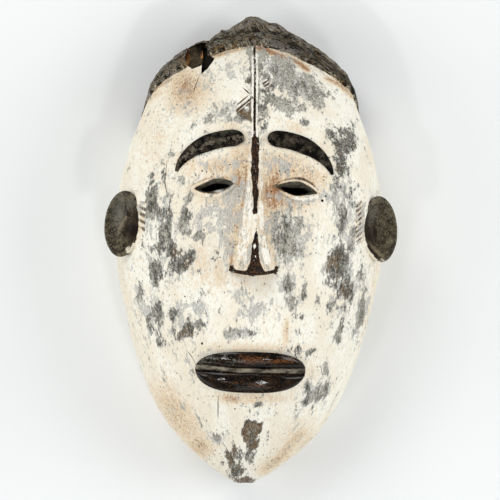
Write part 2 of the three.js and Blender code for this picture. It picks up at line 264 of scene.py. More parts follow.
def tool_marks(x, y, z):
    """The sum of the tool marks, which run round the head as well as down the face: noise * depth."""
    along = y + 0.6 * (120 - z) * np.sign(y - CENTRE_Y) * smooth(np.abs(y - CENTRE_Y) / 90)
    across = x + 0.6 * (120 - z) * np.sign(x) * smooth(np.abs(x) / 60)
    return sum(
        depth * drifting(across / width + shift, along / length, seed)
        for depth, width, length, shift, seed in TOOL_MARKS
    )


def surface_z(x, y):
    """Height of the head above the rim plane at a place on the face: wall + dome + relief."""
    phi = np.arctan2(x, y - CENTRE_Y)
    k = np.ones_like(phi)
    for _ in range(6):
        k = clamp(np.hypot(x, y - CENTRE_Y) / ring_radius(phi, k))
    return SIDE_WALL + DOME_HEIGHT * np.sqrt(1 - k**DOME_POWER) + relief(x, y)


def head_point(mu, phi):
    """The head's surface. mu runs from the middle of the face (0) over the outline to the rim (1).

    On the dome the ring is k = sin(mu) and z = wall + height * sqrt(1 - k ** power), plus the relief.
    On the wall k shrinks by the taper times the square of the way down.
    """
    on_dome = mu <= DOME_SHARE
    down = np.maximum(mu - DOME_SHARE, 0) / (1 - DOME_SHARE)
    k = np.where(on_dome, np.sin(np.minimum(mu / DOME_SHARE, 1) * np.pi / 2), 1 - RIM_TAPER * down**2)
    dome = SIDE_WALL + DOME_HEIGHT * np.sqrt(clamp(1 - k**DOME_POWER))
    z = np.where(on_dome, dome, SIDE_WALL * (1 - down))
    radius = k * ring_radius(phi, k)
    x, y = radius * np.sin(phi), CENTRE_Y + radius * np.cos(phi)
    z = z + np.where(on_dome, relief(x, y) * (1 - np.minimum(k, 1) ** 8), 0)
    return np.stack([x, y, z], -1)


def head_normal(mu, phi):
    """The outward direction of the head's surface, from small steps along it both ways."""
    step = 0.004
    along = head_point(np.minimum(mu + step, 1), phi) - head_point(np.maximum(mu - step, 1e-4), phi)
    round_it = head_point(mu, phi + step) - head_point(mu, phi - step)
    n = np.cross(along, round_it)
    n /= np.linalg.norm(n, axis=-1, keepdims=True) + 1e-12
    outward = head_point(mu, phi) - np.array([0, CENTRE_Y, 0])
    return n * np.where((n * outward).sum(-1, keepdims=True) < 0, -1, 1)


def quads(a, b, c, d):
    """Faces from four arrays of corner numbers."""
    return np.stack([a, b, c, d], -1).reshape(-1, 4)


def solid(name, points, faces, finish):
    """A closed mesh object from points in millimetres, its faces turned the right way out."""
    points = np.asarray(points, float).reshape(-1, 3) * MM
    fans = np.vstack([
        np.column_stack([f[:, 0], f[:, i], f[:, i + 1]]) for f in faces for i in range(1, f.shape[1] - 1)
    ])
    a, b, c = (points[fans[:, i]] for i in range(3))
    if (a * np.cross(b, c)).sum() < 0:
        faces = [f[:, ::-1] for f in faces]
    mesh = bpy.data.meshes.new(name)
    mesh.from_pydata(points.tolist(), [], [row for f in faces for row in f.tolist()])
    mesh.materials.append(finish)
    made = bpy.data.objects.new(name, mesh)
    bpy.context.scene.collection.objects.link(made)
    return made


# How much longer than wide the mask is, for the directions of a grid pressed onto it.
CAP_STRETCH = 1.7


def cap(name, across, along, surface, floor_z, finish):
    """A dome of even quads, closed below by a fan.

    A square grid is pressed round, u = s * sqrt(1 - t * t / 2) and v = t * sqrt(1 - s * s / 2), and
    surface(mu, phi) carries it onto the dome, mu from the middle and phi round from the crown.
    """
    s, t = np.meshgrid(np.linspace(-1, 1, across + 1), np.linspace(-1, 1, along + 1), indexing="ij")
    u, v = s * np.sqrt(1 - t * t / 2), t * np.sqrt(1 - s * s / 2)
    grid = surface(np.minimum(np.hypot(u, v), 1), np.arctan2(u, CAP_STRETCH * v))
    n = np.arange(grid.shape[0] * grid.shape[1]).reshape(grid.shape[:2])
    ring = np.concatenate([n[:-1, 0], n[-1, :-1], n[:0:-1, -1], n[0, :0:-1]])
    middle = np.full(len(ring), n.size)
    points = np.vstack([grid.reshape(-1, 3), [[0, CENTRE_Y, floor_z]]])
    fan = np.column_stack([ring, middle, np.roll(ring, -1)])
    return solid(name, points, [quads(n[:-1, :-1], n[1:, :-1], n[1:, 1:], n[:-1, 1:]), fan], finish)


def slab(name, top, bottom, finish):
    """The closed solid between two grids of points, with walls round its edge."""
    n = np.arange(2 * top.shape[0] * top.shape[1]).reshape(2, *top.shape[:2])
    over, under = n
    faces = [
        quads(over[:-1, :-1], over[1:, :-1], over[1:, 1:], over[:-1, 1:]),
        quads(under[:-1, :-1], under[:-1, 1:], under[1:, 1:], under[1:, :-1]),
        quads(under[:-1, 0], under[1:, 0], over[1:, 0], over[:-1, 0]),
        quads(over[:-1, -1], over[1:, -1], under[1:, -1], under[:-1, -1]),
        quads(under[0, :-1], over[0, :-1], over[0, 1:], under[0, 1:]),
        quads(over[-1, :-1], under[-1, :-1], under[-1, 1:], over[-1, 1:]),
    ]
    return solid(name, np.stack([top, bottom]), faces, finish)


def loft(name, rings, finish):
    """The closed solid through a stack of rings of points, its two ends closed by fans."""
    layers, count = rings.shape[:2]
    n = np.arange(layers * count).reshape(layers, count)
    turned = np.roll(n, -1, axis=1)
    first = np.column_stack([np.full(count, layers * count), n[0], turned[0]])[:, ::-1]
    last = np.column_stack([np.full(count, layers * count + 1), n[-1], turned[-1]])
    points = np.vstack([rings.reshape(-1, 3), rings[0].mean(0), rings[-1].mean(0)])
    return solid(name, points, [quads(n[:-1], turned[:-1], turned[1:], n[1:]), first, last], finish)


def unit_grid(across, along):
    """Two parameters from 0 to 1 on a grid."""
    return np.meshgrid(np.linspace(0, 1, across + 1), np.linspace(0, 1, along + 1), indexing="ij")


def raised(name, x, y, height, finish):
    """A carved feature over a grid of places on the face, height above the head, rooted in it."""
    z = surface_z(x, y)
    return slab(name, np.stack([x, y, z + height], -1), np.stack([x, y, z - ROOT], -1), finish)


def group_of(name, inputs, outputs):
    """A new shader group with its named sockets, and its input and output nodes."""
    group = bpy.data.node_groups.new(name, "ShaderNodeTree")
    for socket, (kind, value) in inputs.items():
        made = group.interface.new_socket(socket, in_out="INPUT", socket_type=kind)
        if value is not None:
            made.default_value = value
    for socket, kind in outputs.items():
        group.interface.new_socket(socket, in_out="OUTPUT", socket_type=kind)
    return group, group.nodes.new("NodeGroupInput"), group.nodes.new("NodeGroupOutput")


def maths(tree, operation, a, b=0.0, c=0.0):
    """The output of one Math node."""
    return add(tree, "ShaderNodeMath", {0: a, 1: b, 2: c}, operation=operation).outputs[0]


def shifted(tree, base, by, amount):
    """base + (by - 0.5) * amount."""
    return maths(tree, "MULTIPLY_ADD", maths(tree, "SUBTRACT", by, 0.5), amount, base)


def ramped(tree, value, low, high, to_low=0.0, to_high=1.0):
    """A value carried by a soft step from one range to another."""
    inputs = {0: value, 1: low, 2: high, 3: to_low, 4: to_high}
    return add(tree, "ShaderNodeMapRange", inputs, interpolation_type="SMOOTHSTEP").outputs[0]


def marked(tree, name):
    """A mark kept on the mesh, such as how far the paint is worn at a place."""
    return add(tree, "ShaderNodeAttribute", attribute_name=name).outputs["Fac"]


def use(tree, group, inputs):
    """A shader group placed in a material with its own values."""
    node = tree.nodes.new("ShaderNodeGroup")
    node.node_tree = group
    feed(tree, node, inputs)
    return node.outputs


# Ragged wear: a field between 0 and 1 is broken up by noise of two sizes, then cut at one half. The
# fringe is the same, cut softly and lower, for the thin edge round each patch, and the core is cut
# softly and higher, for the heart of it.
RAGGED, given, result = group_of(
    "ragged wear",
    {
        "Vector": ("NodeSocketVector", None),
        "Field": ("NodeSocketFloat", 0.0),
        "Patch size": ("NodeSocketFloat", 150.0),
        "Patch break": ("NodeSocketFloat", 2.0),
        "Fleck size": ("NodeSocketFloat", 700.0),
        "Fleck break": ("NodeSocketFloat", 1.5),
        "Flake": ("NodeSocketFloat", 0.2),
        "Softness": ("NodeSocketFloat", 0.04),
    },
    {"Mask": "NodeSocketFloat", "Fringe": "NodeSocketFloat", "Core": "NodeSocketFloat"},
)
given = given.outputs
place = given["Vector"]
broad = noise(RAGGED, place, given["Patch size"], 7.0, 0.62)
flecks = {"Vector": place, "Scale": given["Fleck size"], "Detail": 3.0, "Roughness": 0.6}
fleck = add(RAGGED, "ShaderNodeTexNoise", flecks).outputs
broken = shifted(RAGGED, given["Field"], broad, given["Patch break"])
broken = shifted(RAGGED, broken, fleck["Fac"], given["Fleck break"])
# The edges of the flakes are torn by moving each place up to 4 mm before the flake is looked up.
TORN_BY = (0.004, 0.004, 0.004)
moved = add(RAGGED, "ShaderNodeVectorMath", {0: fleck["Color"], 1: TORN_BY}, operation="MULTIPLY")
moved = add(RAGGED, "ShaderNodeVectorMath", {0: place, 1: moved.outputs[0]}, operation="ADD")
flakes = add(RAGGED, "ShaderNodeTexVoronoi", {"Vector": moved.outputs[0], "Scale": given["Fleck size"]})
flake = add(RAGGED, "ShaderNodeSeparateColor", {0: flakes.outputs["Color"]}).outputs[0]
broken = shifted(RAGGED, broken, flake, given["Flake"])
low_edge = maths(RAGGED, "SUBTRACT", 0.5, given["Softness"])
high_edge = maths(RAGGED, "ADD", 0.5, given["Softness"])
feed(RAGGED, result, {
    "Mask": ramped(RAGGED, broken, low_edge, high_edge),
    "Fringe": ramped(RAGGED, broken, 0.14, 0.5),
    "Core": ramped(RAGGED, broken, 0.5, 0.95),
})


def ragged(tree, place, field, patches, flecks, softness, flake=0.2):
    """The ragged wear group in a material. Patches and flecks are each a size and a break."""
    return use(tree, RAGGED, {
        "Vector": place, "Field": field, "Patch size": patches[0], "Patch break": patches[1],
        "Fleck size": flecks[0], "Fleck break": flecks[1], "Flake": flake, "Softness": softness,
    })


# Wood grain: long fibres along the mask, as a height for the bump and a mask of dark pores.
GRAIN, given, result = group_of(
    "wood grain",
    {"Vector": ("NodeSocketVector", None), "Fibres": ("NodeSocketFloat", 900.0)},
    {"Height": "NodeSocketFloat", "Pores": "NodeSocketFloat"},
)
FIBRE_SHAPE = (1.0, 0.09, 0.6)
stretched = add(GRAIN, "ShaderNodeMapping", {"Vector": given.outputs["Vector"], "Scale": FIBRE_SHAPE})
fibre = add(GRAIN, "ShaderNodeTexNoise", {
    "Vector": stretched.outputs[0], "Scale": given.outputs["Fibres"], "Detail": 4.0, "Roughness": 0.55,
    "Distortion": 0.3,
}).outputs["Fac"]
feed(GRAIN, result, {"Height": fibre, "Pores": ramped(GRAIN, fibre, 0.42, 0.3)})

# The face is whitened with a clay paint, thin and ragged over the wood: cream where it is whole,
# slate-grey where it is rubbed thin, and bare brown or grey wood where it has flaked away.
clay, tree, shader, place = finish_of("clay paint")
drawn = add(tree, "ShaderNodeAttribute", attribute_name="drawn").outputs["Vector"]
grain = use(tree, GRAIN, {"Vector": place, "Fibres": 700.0})
cloud = noise(tree, drawn, 45.0, 4.0)
speck = noise(tree, drawn, 520.0, 4.0, 0.7)
grit = noise(tree, drawn, 1150.0, 3.0, 0.7)
paint = blend(tree, ramped(tree, cloud, 0.36, 0.62), linear(237, 228, 208), linear(244, 243, 231))
paint = blend(tree, ramped(tree, speck, 0.52, 0.7, 0.0, 0.6), paint, linear(210, 203, 186))
paint = blend(tree, ramped(tree, grit, 0.6, 0.7, 0.0, 0.65), paint, linear(182, 170, 146))
# Tan stains, and tan painted shade along the feet of the nose and the right jaw.
stain_break = shifted(tree, marked(tree, "stain_and_shade"), speck, 1.5)
stain_break = shifted(tree, stain_break, cloud, 1.3)
stain_break = shifted(tree, stain_break, grit, 0.7)
paint = blend(tree, ramped(tree, stain_break, 0.0, 0.8), paint, linear(226, 206, 176))
paint = blend(tree, ramped(tree, stain_break, 0.7, 1.3), paint, linear(162, 120, 84))
stain_grain = ramped(tree, grit, 0.53, 0.63, 0.0, 0.75)
stain_grain = maths(tree, "MULTIPLY", ramped(tree, marked(tree, "stain_and_shade"), 0.3, 0.9), stain_grain)
paint = blend(tree, stain_grain, paint, linear(132, 112, 86))
# Grey where the paint is rubbed thin, and a painted shadow under the right lower lid.
wash_light_and_shade = ragged(tree, drawn, marked(tree, "wash_light_and_shade"), (190.0, 2.8), (560.0, 1.5), 0.12, 0.25)["Mask"]
wash_tone = blend(tree, ramped(tree, grit, 0.36, 0.64), linear(144, 145, 142), linear(210, 208, 200))
paint = blend(tree, maths(tree, "MULTIPLY", wash_light_and_shade, 0.8), paint, wash_tone)
# Flaked paint, and thin painted shadows along the feet of the rib.
flaked = ragged(tree, drawn, marked(tree, "bared_and_rib_shadow"), (150.0, 3.4), (680.0, 1.6), 0.035, 0.25)
bared_and_rib_shadow = flaked["Mask"]
paint = blend(tree, maths(tree, "MULTIPLY", flaked["Fringe"], 0.6), paint, linear(190, 190, 184))
drift = noise(tree, drawn, 120.0, 4.0, 0.6)
tone_place = shifted(tree, marked(tree, "browned"), speck, 1.4)
tone_place = shifted(tree, tone_place, drift, 2.0)
timber = add(tree, "ShaderNodeValToRGB", {0: tone_place})
ramp = timber.color_ramp
ramp.elements[0].color = linear(188, 184, 172)
ramp.elements[1].color = linear(96, 74, 48)
for position, tone in ((0.22, (153, 149, 136)), (0.5, (62, 64, 60)), (0.82, (126, 108, 84))):
    ramp.elements.new(position).color = linear(*tone)
heart = maths(tree, "MULTIPLY_ADD", flaked["Core"], 0.45, 0.55)
timber = blend(tree, heart, linear(176, 175, 168), timber.outputs[0])
timber = blend(tree, ramped(tree, grit, 0.48, 0.37, 0.0, 0.75), timber, linear(44, 42, 37))
timber = blend(tree, ramped(tree, grit, 0.56, 0.67, 0.0, 0.6), timber, linear(208, 205, 193))
timber = blend(tree, maths(tree, "MULTIPLY", grain["Pores"], 0.5), timber, linear(48, 45, 38))
colour = blend(tree, bared_and_rib_shadow, paint, timber)
dots = add(tree, "ShaderNodeTexVoronoi", {"Vector": place, "Scale": 430.0}).outputs
dot_chance = maths(tree, "MULTIPLY_ADD", marked(tree, "stain_and_shade"), 0.22, 0.03)
drawn_lot = add(tree, "ShaderNodeSeparateColor", {0: dots["Color"]}).outputs[1]
dotted = maths(tree, "LESS_THAN", drawn_lot, dot_chance)
dotted = maths(tree, "MULTIPLY", dotted, ramped(tree, dots["Distance"], 0.3, 0.18))
colour = blend(tree, maths(tree, "MULTIPLY", dotted, 0.85), colour, linear(82, 66, 46))
soot_mask = ragged(tree, place, marked(tree, "blackened"), (400.0, 1.3), (1200.0, 0.9), 0.1)["Mask"]
soot_tone = blend(tree, ramped(tree, grit, 0.48, 0.7), linear(10, 4, 1), linear(104, 66, 38))
soot_tone = blend(tree, ramped(tree, speck, 0.56, 0.7, 0.0, 0.6), soot_tone, linear(86, 80, 72))
colour = blend(tree, soot_mask, colour, soot_tone)
# White chalk, and a pale band along the right lower lid that is painted light.
chalk_and_light_mask = ragged(tree, drawn, marked(tree, "chalk_and_light"), (240.0, 2.2), (900.0, 1.4), 0.2)["Mask"]
colour = blend(tree, chalk_and_light_mask, colour, linear(248, 244, 232))
rough = maths(tree, "MULTIPLY_ADD", bared_and_rib_shadow, -0.22, 0.86)
rough = maths(tree, "MULTIPLY_ADD", soot_mask, -0.2, rough)
thickness = maths(tree, "MULTIPLY_ADD", bared_and_rib_shadow, -0.9, maths(tree, "MULTIPLY", speck, 0.7))
thickness = maths(tree, "MULTIPLY_ADD", grain["Height"], 0.5, thickness)
settle(tree, shader, colour, rough, 0.14, (thickness, 0.0005, 0.9))

# The lower edge is rounded in by the first number over the height of the second, and the tool marks
# reach their full depth at the height of the third.
EDGE_INSET = 1.2
EDGE_ROUNDING = 1.5
MARKS_FROM = 6
HEAD_CELLS = (150, 256)


def carved_head(mu, phi):
    """The head with its tool marks, its lower edge rounded where it meets the ground."""
    points = head_point(mu, phi)
    x, y, z = np.moveaxis(points, -1, 0)
    inset = EDGE_INSET * clamp(1 - z / EDGE_ROUNDING) ** 2
    marks = tool_marks(x, y, z) * smooth(z / MARKS_FROM)
    moved = points + head_normal(mu, phi) * (marks - inset)[..., None]
    moved[..., 2] = np.where(points[..., 2] < 1e-6, 0, np.maximum(moved[..., 2], 0))
    return moved


head = cap("head", *HEAD_CELLS, carved_head, 0.0, clay)


# The hair is carved in two tiers, combed with fine strands and blackened with soot: a front roll
# above the brow, and behind it a higher tier with a short crest, thinning towards both ends.
# How far round from the crown the band runs, and where its front edge leaves the dome, in degrees.
HAIR_END = 53
HAIR_ON_OUTLINE = 40.8
# How far over the dome the front edge lies, in degrees of its arc: at the crown, where it leaves the
# dome, and how much further it dips on the way there.
HAIRLINE_CROWN = 62.7
HAIRLINE_TURN = 80
HAIRLINE_DIP = 10
ROLL_WIDTH = 17
ROLL_HEIGHT = 4.2
TIER_GROOVE = 2.6
TIER_HEIGHT = 5
CREST_HEIGHT = 4.5
CREST_HALF_WIDTH = 10


def hairline(phi):
    """mu of the hair's front edge: it lies on the dome near the crown and runs down the wall beyond."""
    a = np.degrees(np.abs(phi))
    t = np.minimum(a / HAIR_ON_OUTLINE, 1)
    on_dome = DOME_SHARE * (mix(HAIRLINE_CROWN, HAIRLINE_TURN, t**8) + HAIRLINE_DIP * t**1.5) / 90
    on_wall = mix(DOME_SHARE, 0.995, (a - HAIR_ON_OUTLINE) / (HAIR_END - HAIR_ON_OUTLINE))
    return np.where(a > HAIR_ON_OUTLINE, on_wall, on_dome)


def strands(along, across, side):
    """Combed relief: slanting strands left of the crest, strands that follow the band right of it."""
    slanting = drifting((along + 0.55 * across) / 1.5, across / 11, 11)
    slanting = slanting + 0.5 * drifting((along + 0.8 * across) / 0.8, across / 6, 12)
    following = drifting((across + 0.12 * along) / 1.3, along / 13, 13)
    following = following + 0.5 * drifting((across + 0.1 * along) / 0.8, along / 7, 14)
    return mix(slanting, following, smooth((side + 4) / 22))


# How far the top edge of the hair has worn down, in millimetres, at places from left to right.
EDGE_WEAR = [
    (-75.5, 1.0), (-66, 2.0), (-53, 2.1), (-46, 1.6), (-42, 0.4), (-34.5, 0.9), (-30, 1.9), (-25.5, 1.0),
    (-21, 3.6), (-14, 2.3), (1.5, 2.0), (10.6, 1.4), (15, -0.2), (19.6, 0.7), (24, 1.7), (30, 0.8),
    (42, 0.6), (49, 1.3), (56, 2.0), (65, 1.8), (69.6, 1.2), (75, 2.4), (79, 5.0),
]


# The distance from the middle of the face at which the combed strands are measured round the band.
HAIR_REACH = 150


def hair_height(distance, phi, x):
    """Height over the head at a distance behind the hairline: the roll, its groove, then the tier."""
    a = np.degrees(np.abs(phi))
    thin = mix(1, 0.22, smooth((a - 20) / 28))
    width = ROLL_WIDTH * mix(1, 0.5, (a / HAIR_END) ** 2)
    across = np.minimum(2 * distance / width - 1, 1)
    roll = ROLL_HEIGHT * np.sqrt(1 - 0.82 * across**6)
    rise = smooth((distance - width) / TIER_GROOVE)
    crest = CREST_HEIGHT * np.exp(-((x / CREST_HALF_WIDTH) ** 2))
    tier = mix(ROLL_HEIGHT * 0.42, TIER_HEIGHT + crest, rise)
    along = phi * HAIR_REACH
    chopped = 0.6 * drifting(along / 7, distance / 5, 15) + 0.45 * drifting(along / 3, distance / 4, 16)
    behind = distance > width
    height = np.where(behind, tier + rise * chopped, roll)
    combed = 0.65 * strands(along, distance, x) * mix(0.6, 1, smooth(distance / 3))
    wear = np.interp(x, *np.array(EDGE_WEAR).T) * smooth((distance - 0.6 * width) / width)
    return np.maximum(thin * height - wear, 0.5) + (0.35 + 0.65 * thin) * combed


HAIR_COLUMNS = 400
HAIR_ROWS = 62
u, v = unit_grid(HAIR_COLUMNS, HAIR_ROWS)
phi = np.radians(mix(-HAIR_END, HAIR_END, u))
mu = mix(hairline(phi), 1, v)
base = head_point(mu, phi)
steps = np.linalg.norm(np.diff(base, axis=1), axis=-1)
distance = np.concatenate([np.zeros((HAIR_COLUMNS + 1, 1)), np.cumsum(steps, axis=1)], axis=1)
normal = head_normal(np.minimum(mu, 0.995), phi)
hair_top = base + normal * hair_height(distance, phi, base[..., 0])[..., None]
hair_under = base - normal * ROOT
for layer in (hair_top, hair_under):
    layer[..., 2] = np.where(v == 1, 0, np.maximum(layer[..., 2], 0))

hair_soot_and_shade, tree, shader, place = finish_of("sooted hair")
combed = add(tree, "ShaderNodeAttribute", attribute_name="combed").outputs["Vector"]
lengthwise = add(tree, "ShaderNodeMapping", {"Vector": combed, "Scale": (1.0, 0.12, 1.0)}).outputs[0]
strand = noise(tree, lengthwise, 900.0, 4.0, 0.6)
clump = noise(tree, place, 110.0, 5.0, 0.65)
thread = noise(tree, lengthwise, 1500.0, 3.0, 0.7)
# The strands and clumps are lighter where the bump rises and darkest in the crevices: painted light and
# shade.
colour = blend(tree, ramped(tree, strand, 0.46, 0.57), linear(9, 6, 3), linear(122, 113, 95))
colour = blend(tree, ramped(tree, thread, 0.54, 0.62, 0.0, 0.9), colour, linear(186, 180, 165))
colour = blend(tree, ramped(tree, thread, 0.45, 0.34, 0.0, 0.8), colour, linear(16, 12, 8))
colour = blend(tree, ramped(tree, clump, 0.52, 0.42, 0.0, 0.92), colour, linear(14, 10, 6))
ochre = ragged(tree, place, 0.28, (160.0, 2.2), (700.0, 1.8), 0.16)["Mask"]
colour = blend(tree, maths(tree, "MULTIPLY", ochre, 0.7), colour, linear(128, 104, 70))
# Grey dust in a few spots, and painted light along the outer edge of the hair.
dust_and_painted_light = ragged(tree, place, marked(tree, "dust_and_painted_light"), (130.0, 2.4), (600.0, 1.8), 0.15)["Mask"]
colour = blend(tree, maths(tree, "MULTIPLY", dust_and_painted_light, 0.7), colour, linear(152, 147, 138))
lapped = ragged(tree, place, marked(tree, "lapped"), (220.0, 2.6), (800.0, 2.4), 0.1, 0.3)["Mask"]
colour = blend(tree, lapped, colour, linear(222, 208, 180))
# A near-black painted shade in the groove between the tiers, and half as much on the front roll.
colour = blend(tree, marked(tree, "parting_shade_and_dark_roll"), colour, linear(12, 8, 5))
ridges = maths(tree, "MULTIPLY_ADD", clump, 0.6, strand)
settle(tree, shader, colour, ramped(tree, clump, 0.3, 0.7, 0.62, 0.85), 0.05, (ridges, 0.0012, 1.0))
hair = slab("hair", hair_top, hair_under, hair_soot_and_shade)


# The nose is a long narrow ridge left standing between the brows. It widens to a bowed base whose
# underside slopes back to the face, and a sooted strip runs down its flattened crest.
NOSE_TOP = 84
NOSE_TIP = -19
NOSE_WING = 2.6
NOSE_TOP_HALF = 5.3
NOSE_BASE_HALF = 17.9
NOSE_RIDGE_HALF = 1.6
NOSE_TIP_HEIGHT = 21
NOSE_UNDERCUT = 0.8

NOSE_ROWS = 120
UNDER_ROWS = 10
NOSE_COLUMNS = 64
rows = np.concatenate([np.linspace(0, 1, NOSE_ROWS + 1), np.ones(UNDER_ROWS)])
under = np.concatenate([np.zeros(NOSE_ROWS + 1), np.arange(1, UNDER_ROWS + 1) / UNDER_ROWS])
u, v = np.meshgrid(rows, np.linspace(0, 1, NOSE_COLUMNS + 1), indexing="ij")
t = np.broadcast_to(under[:, None], u.shape)
half = mix(NOSE_TOP_HALF, NOSE_BASE_HALF, u**1.8)
side = np.abs(2 * v - 1)
off_ridge = np.maximum(side - NOSE_RIDGE_HALF / half, 0) / (1 - NOSE_RIDGE_HALF / half)
crest = mix(2.5, NOSE_TIP_HEIGHT, u**1.15)
wing = 3.5 * u**8 * smooth(2.2 * off_ridge) * (1 - off_ridge**10)
x = (2 * v - 1) * half
y = mix(NOSE_TOP, mix(NOSE_TIP, NOSE_TIP + NOSE_WING, side**2), u)
height = mix(0.2, crest, (1 - off_ridge) ** 1.25) + wing
bordered = 0.9 * np.exp(-(((np.abs(x + 0.5) - 4.4) / 1.3) ** 2)) * smooth(6 * u) * smooth((0.72 - u) * 6)
height = height + bordered + 0.12 * drifting(x / 1.7, y / 5, 21) * smooth(8 * u) * smooth(4 * (1 - side))
face_z = surface_z(x, y)
y = y - NOSE_UNDERCUT * t**0.8
z = mix(face_z + height, face_z - ROOT, t)
nose = slab("nose", np.stack([x, y, z], -1), np.stack([x, y - 0.5 * t, face_z - ROOT - 1], -1), clay)


# A thin rib stands along the middle of the forehead, scored down its length. On either side of it
# the carver cut short slanting grooves, in pairs, and rubbed them white.
RIB_TOP = 151
RIB_BOTTOM = 82
RIB_HALF = 2.5
RIB_CENTRE = -0.9
u, v = unit_grid(140, 14)
x = RIB_CENTRE + (2 * v - 1) * RIB_HALF + 0.2 * drifting(u * 7, u * 0, 23)
y = mix(RIB_TOP, RIB_BOTTOM, u)
side = np.abs(2 * v - 1)
height = 1.5 * (1 - side**4) - 1.4 * np.exp(-((side / 0.26) ** 2)) + 0.1 * drifting(v * 3, u * 30, 24)
rib = raised("forehead rib", x, y, np.maximum(height, -0.2), clay)


def face_normal(x, y):
    """The outward direction of the face at a place, from the slope of its height."""
    step = 0.2
    slope_x = (surface_z(x + step, y) - surface_z(x - step, y)) / (2 * step)
    slope_y = (surface_z(x, y + step) - surface_z(x, y - step)) / (2 * step)
    n = np.stack([-slope_x, -slope_y, np.ones_like(slope_x)], -1)
    return n / np.linalg.norm(n, axis=-1, keepdims=True)


GROOVE_LIFT = 1.2
GROOVE_RINGS = 12


def groove_cut(name, path, width, depth, finish):
    """A V-shaped cut along a path on the face, drawn out thin at both ends.

    Each ring is a triangle: two corners lift above the face, and one depth below it.
    """
    path = np.array(path, float)
    along = np.linspace(0, len(path) - 1, GROOVE_RINGS)
    x, y = (np.interp(along, np.arange(len(path)), path[:, i]) for i in (0, 1))
    n = face_normal(x, y)
    centre = np.stack([x, y, surface_z(x, y)], -1)
    forward = np.gradient(centre, axis=0)
    sideways = np.cross(forward, n)
    sideways /= np.linalg.norm(sideways, axis=1, keepdims=True)
    taper = np.maximum(1 - np.abs(np.linspace(-1, 1, GROOVE_RINGS)) ** 4, 0.15)[:, None]
    spread = (width / 2) * (1 + GROOVE_LIFT / depth) * taper
    lifted = centre + n * GROOVE_LIFT
    corners = [lifted + sideways * spread, lifted - sideways * spread, centre - n * depth * taper]
    return loft(name, np.stack(corners, axis=1), finish)


def grooves(kind, paths, width, depth, finish):
    """One groove for each path, named after its kind and numbered."""
    return [groove_cut(f"{kind} {i + 1}", path, width, depth, finish) for i, path in enumerate(paths)]


scored_white, tree, shader, place = finish_of("scored white")
powder = noise(tree, place, 700.0, 4.0)
colour = blend(tree, ramped(tree, powder, 0.4, 0.62), linear(176, 170, 158), linear(250, 247, 238))
settle(tree, shader, colour, 0.9, bump=(powder, 0.0004, 0.7))

scored_dark, tree, shader, place = finish_of("scored dark")
dirt = noise(tree, place, 600.0, 4.0)
colour = blend(tree, ramped(tree, dirt, 0.42, 0.6), linear(64, 50, 34), linear(136, 118, 94))
settle(tree, shader, colour, 0.9)

CHEVRONS = [
    [(-3.3, 111.9), (-16, 100.5)],
    [(-1.5, 110.7), (-14, 99.1)],
    [(-11, 119), (-5.2, 113.6)],
    [(-7.3, 118.6), (-3.2, 114.3)],
    [(5.1, 128.8), (8.3, 130), (11.2, 128.2), (11.6, 125.2), (9, 121.7)],
    [(1.9, 128.3), (4.5, 126.5), (2.7, 123.4)],
    [(4.2, 121.9), (8.6, 125.1)],
    [(6.7, 118.2), (11.2, 122.2)],
]
DARK_SCORES = [
    [(-2.4, 111.2), (-15, 99.7)],
    [(-5, 112.9), (-14.3, 104.3)],
    [(-9, 117.5), (-4.2, 112.8)],
    [(4.4, 120.5), (8.5, 123.7)],
    [(5.4, 118.5), (10.5, 122.2)],
]
cuts = grooves("white score", CHEVRONS, 1.2, 0.45, scored_white)
cuts += grooves("dark score", DARK_SCORES, 1.25, 1.0, scored_dark)


# The brows are crescents on a quarter of an ellipse, blunt by the nose and drawn out to a point,
# raised on the forehead and blackened with soot.
BROW_X, BROW_Y = 11, 50
BROW_ACROSS, BROW_UP = 47, 30.5
BROW_HALF = 6.2
BROW_HEIGHT = 3

brow_soot, tree, shader, place = finish_of("sooted brow")
grain = use(tree, GRAIN, {"Vector": place, "Fibres": 800.0})
smudge = noise(tree, place, 170.0, 6.0, 0.7)
colour = blend(tree, ramped(tree, smudge, 0.44, 0.62), linear(5, 3, 1), linear(66, 60, 50))
# Lighter along the middle of each brow, more on the left: painted light.
brow_top_light = ragged(tree, place, marked(tree, "dust_and_painted_light"), (300.0, 2.0), (1100.0, 1.6), 0.15)["Mask"]
colour = blend(tree, maths(tree, "MULTIPLY", brow_top_light, 0.7), colour, linear(118, 110, 94))
fibres = maths(tree, "MULTIPLY_ADD", grain["Height"], 0.6, smudge)
settle(tree, shader, colour, ramped(tree, smudge, 0.3, 0.7, 0.5, 0.72), 0.06, (fibres, 0.0008, 0.7))

brows = []
for side in (-1, 1):
    u, v = unit_grid(90, 14)
    t = np.sin(u * np.pi / 2)
    angle = np.radians(mix(10, 93, t))
    swelling = np.minimum(1, 0.16 + 1.35 * t**0.85)
    blunt = np.sqrt(1 - clamp((t - 0.87) / 0.131) ** 2)
    out = (2 * v - 1) * np.maximum(BROW_HALF * swelling * blunt, 0.4)
    lean_x, lean_y = np.cos(angle) / BROW_ACROSS, np.sin(angle) / BROW_UP
    length = np.hypot(lean_x, lean_y)
    x = side * (BROW_X + BROW_ACROSS * np.cos(angle) + out * lean_x / length)
    y = BROW_Y + BROW_UP * np.sin(angle) + out * lean_y / length
    height = BROW_HEIGHT * (1 - 0.6 * np.abs(2 * v - 1) ** 3) * mix(0.6, 1, smooth(3 * u))
    height = height + 0.14 * drifting(x / 3, y / 2, 31)
    brows.append(raised(f"brow {'left' if side < 0 else 'right'}", x, y, height, brow_soot))


# The eyes are almond lids in low relief. A slit runs right through the wood of each, and its upper
# wall slopes down into the hollow, grey with rubbed soot.
EYE_X, EYE_Y = 31, 44
LID_HALF = 18
LID_UP, LID_DOWN = 8, 8.5
EYE_SLANT = np.radians(-6)
BEVEL_TOP, BEVEL_BOTTOM = 2.4, -5.4
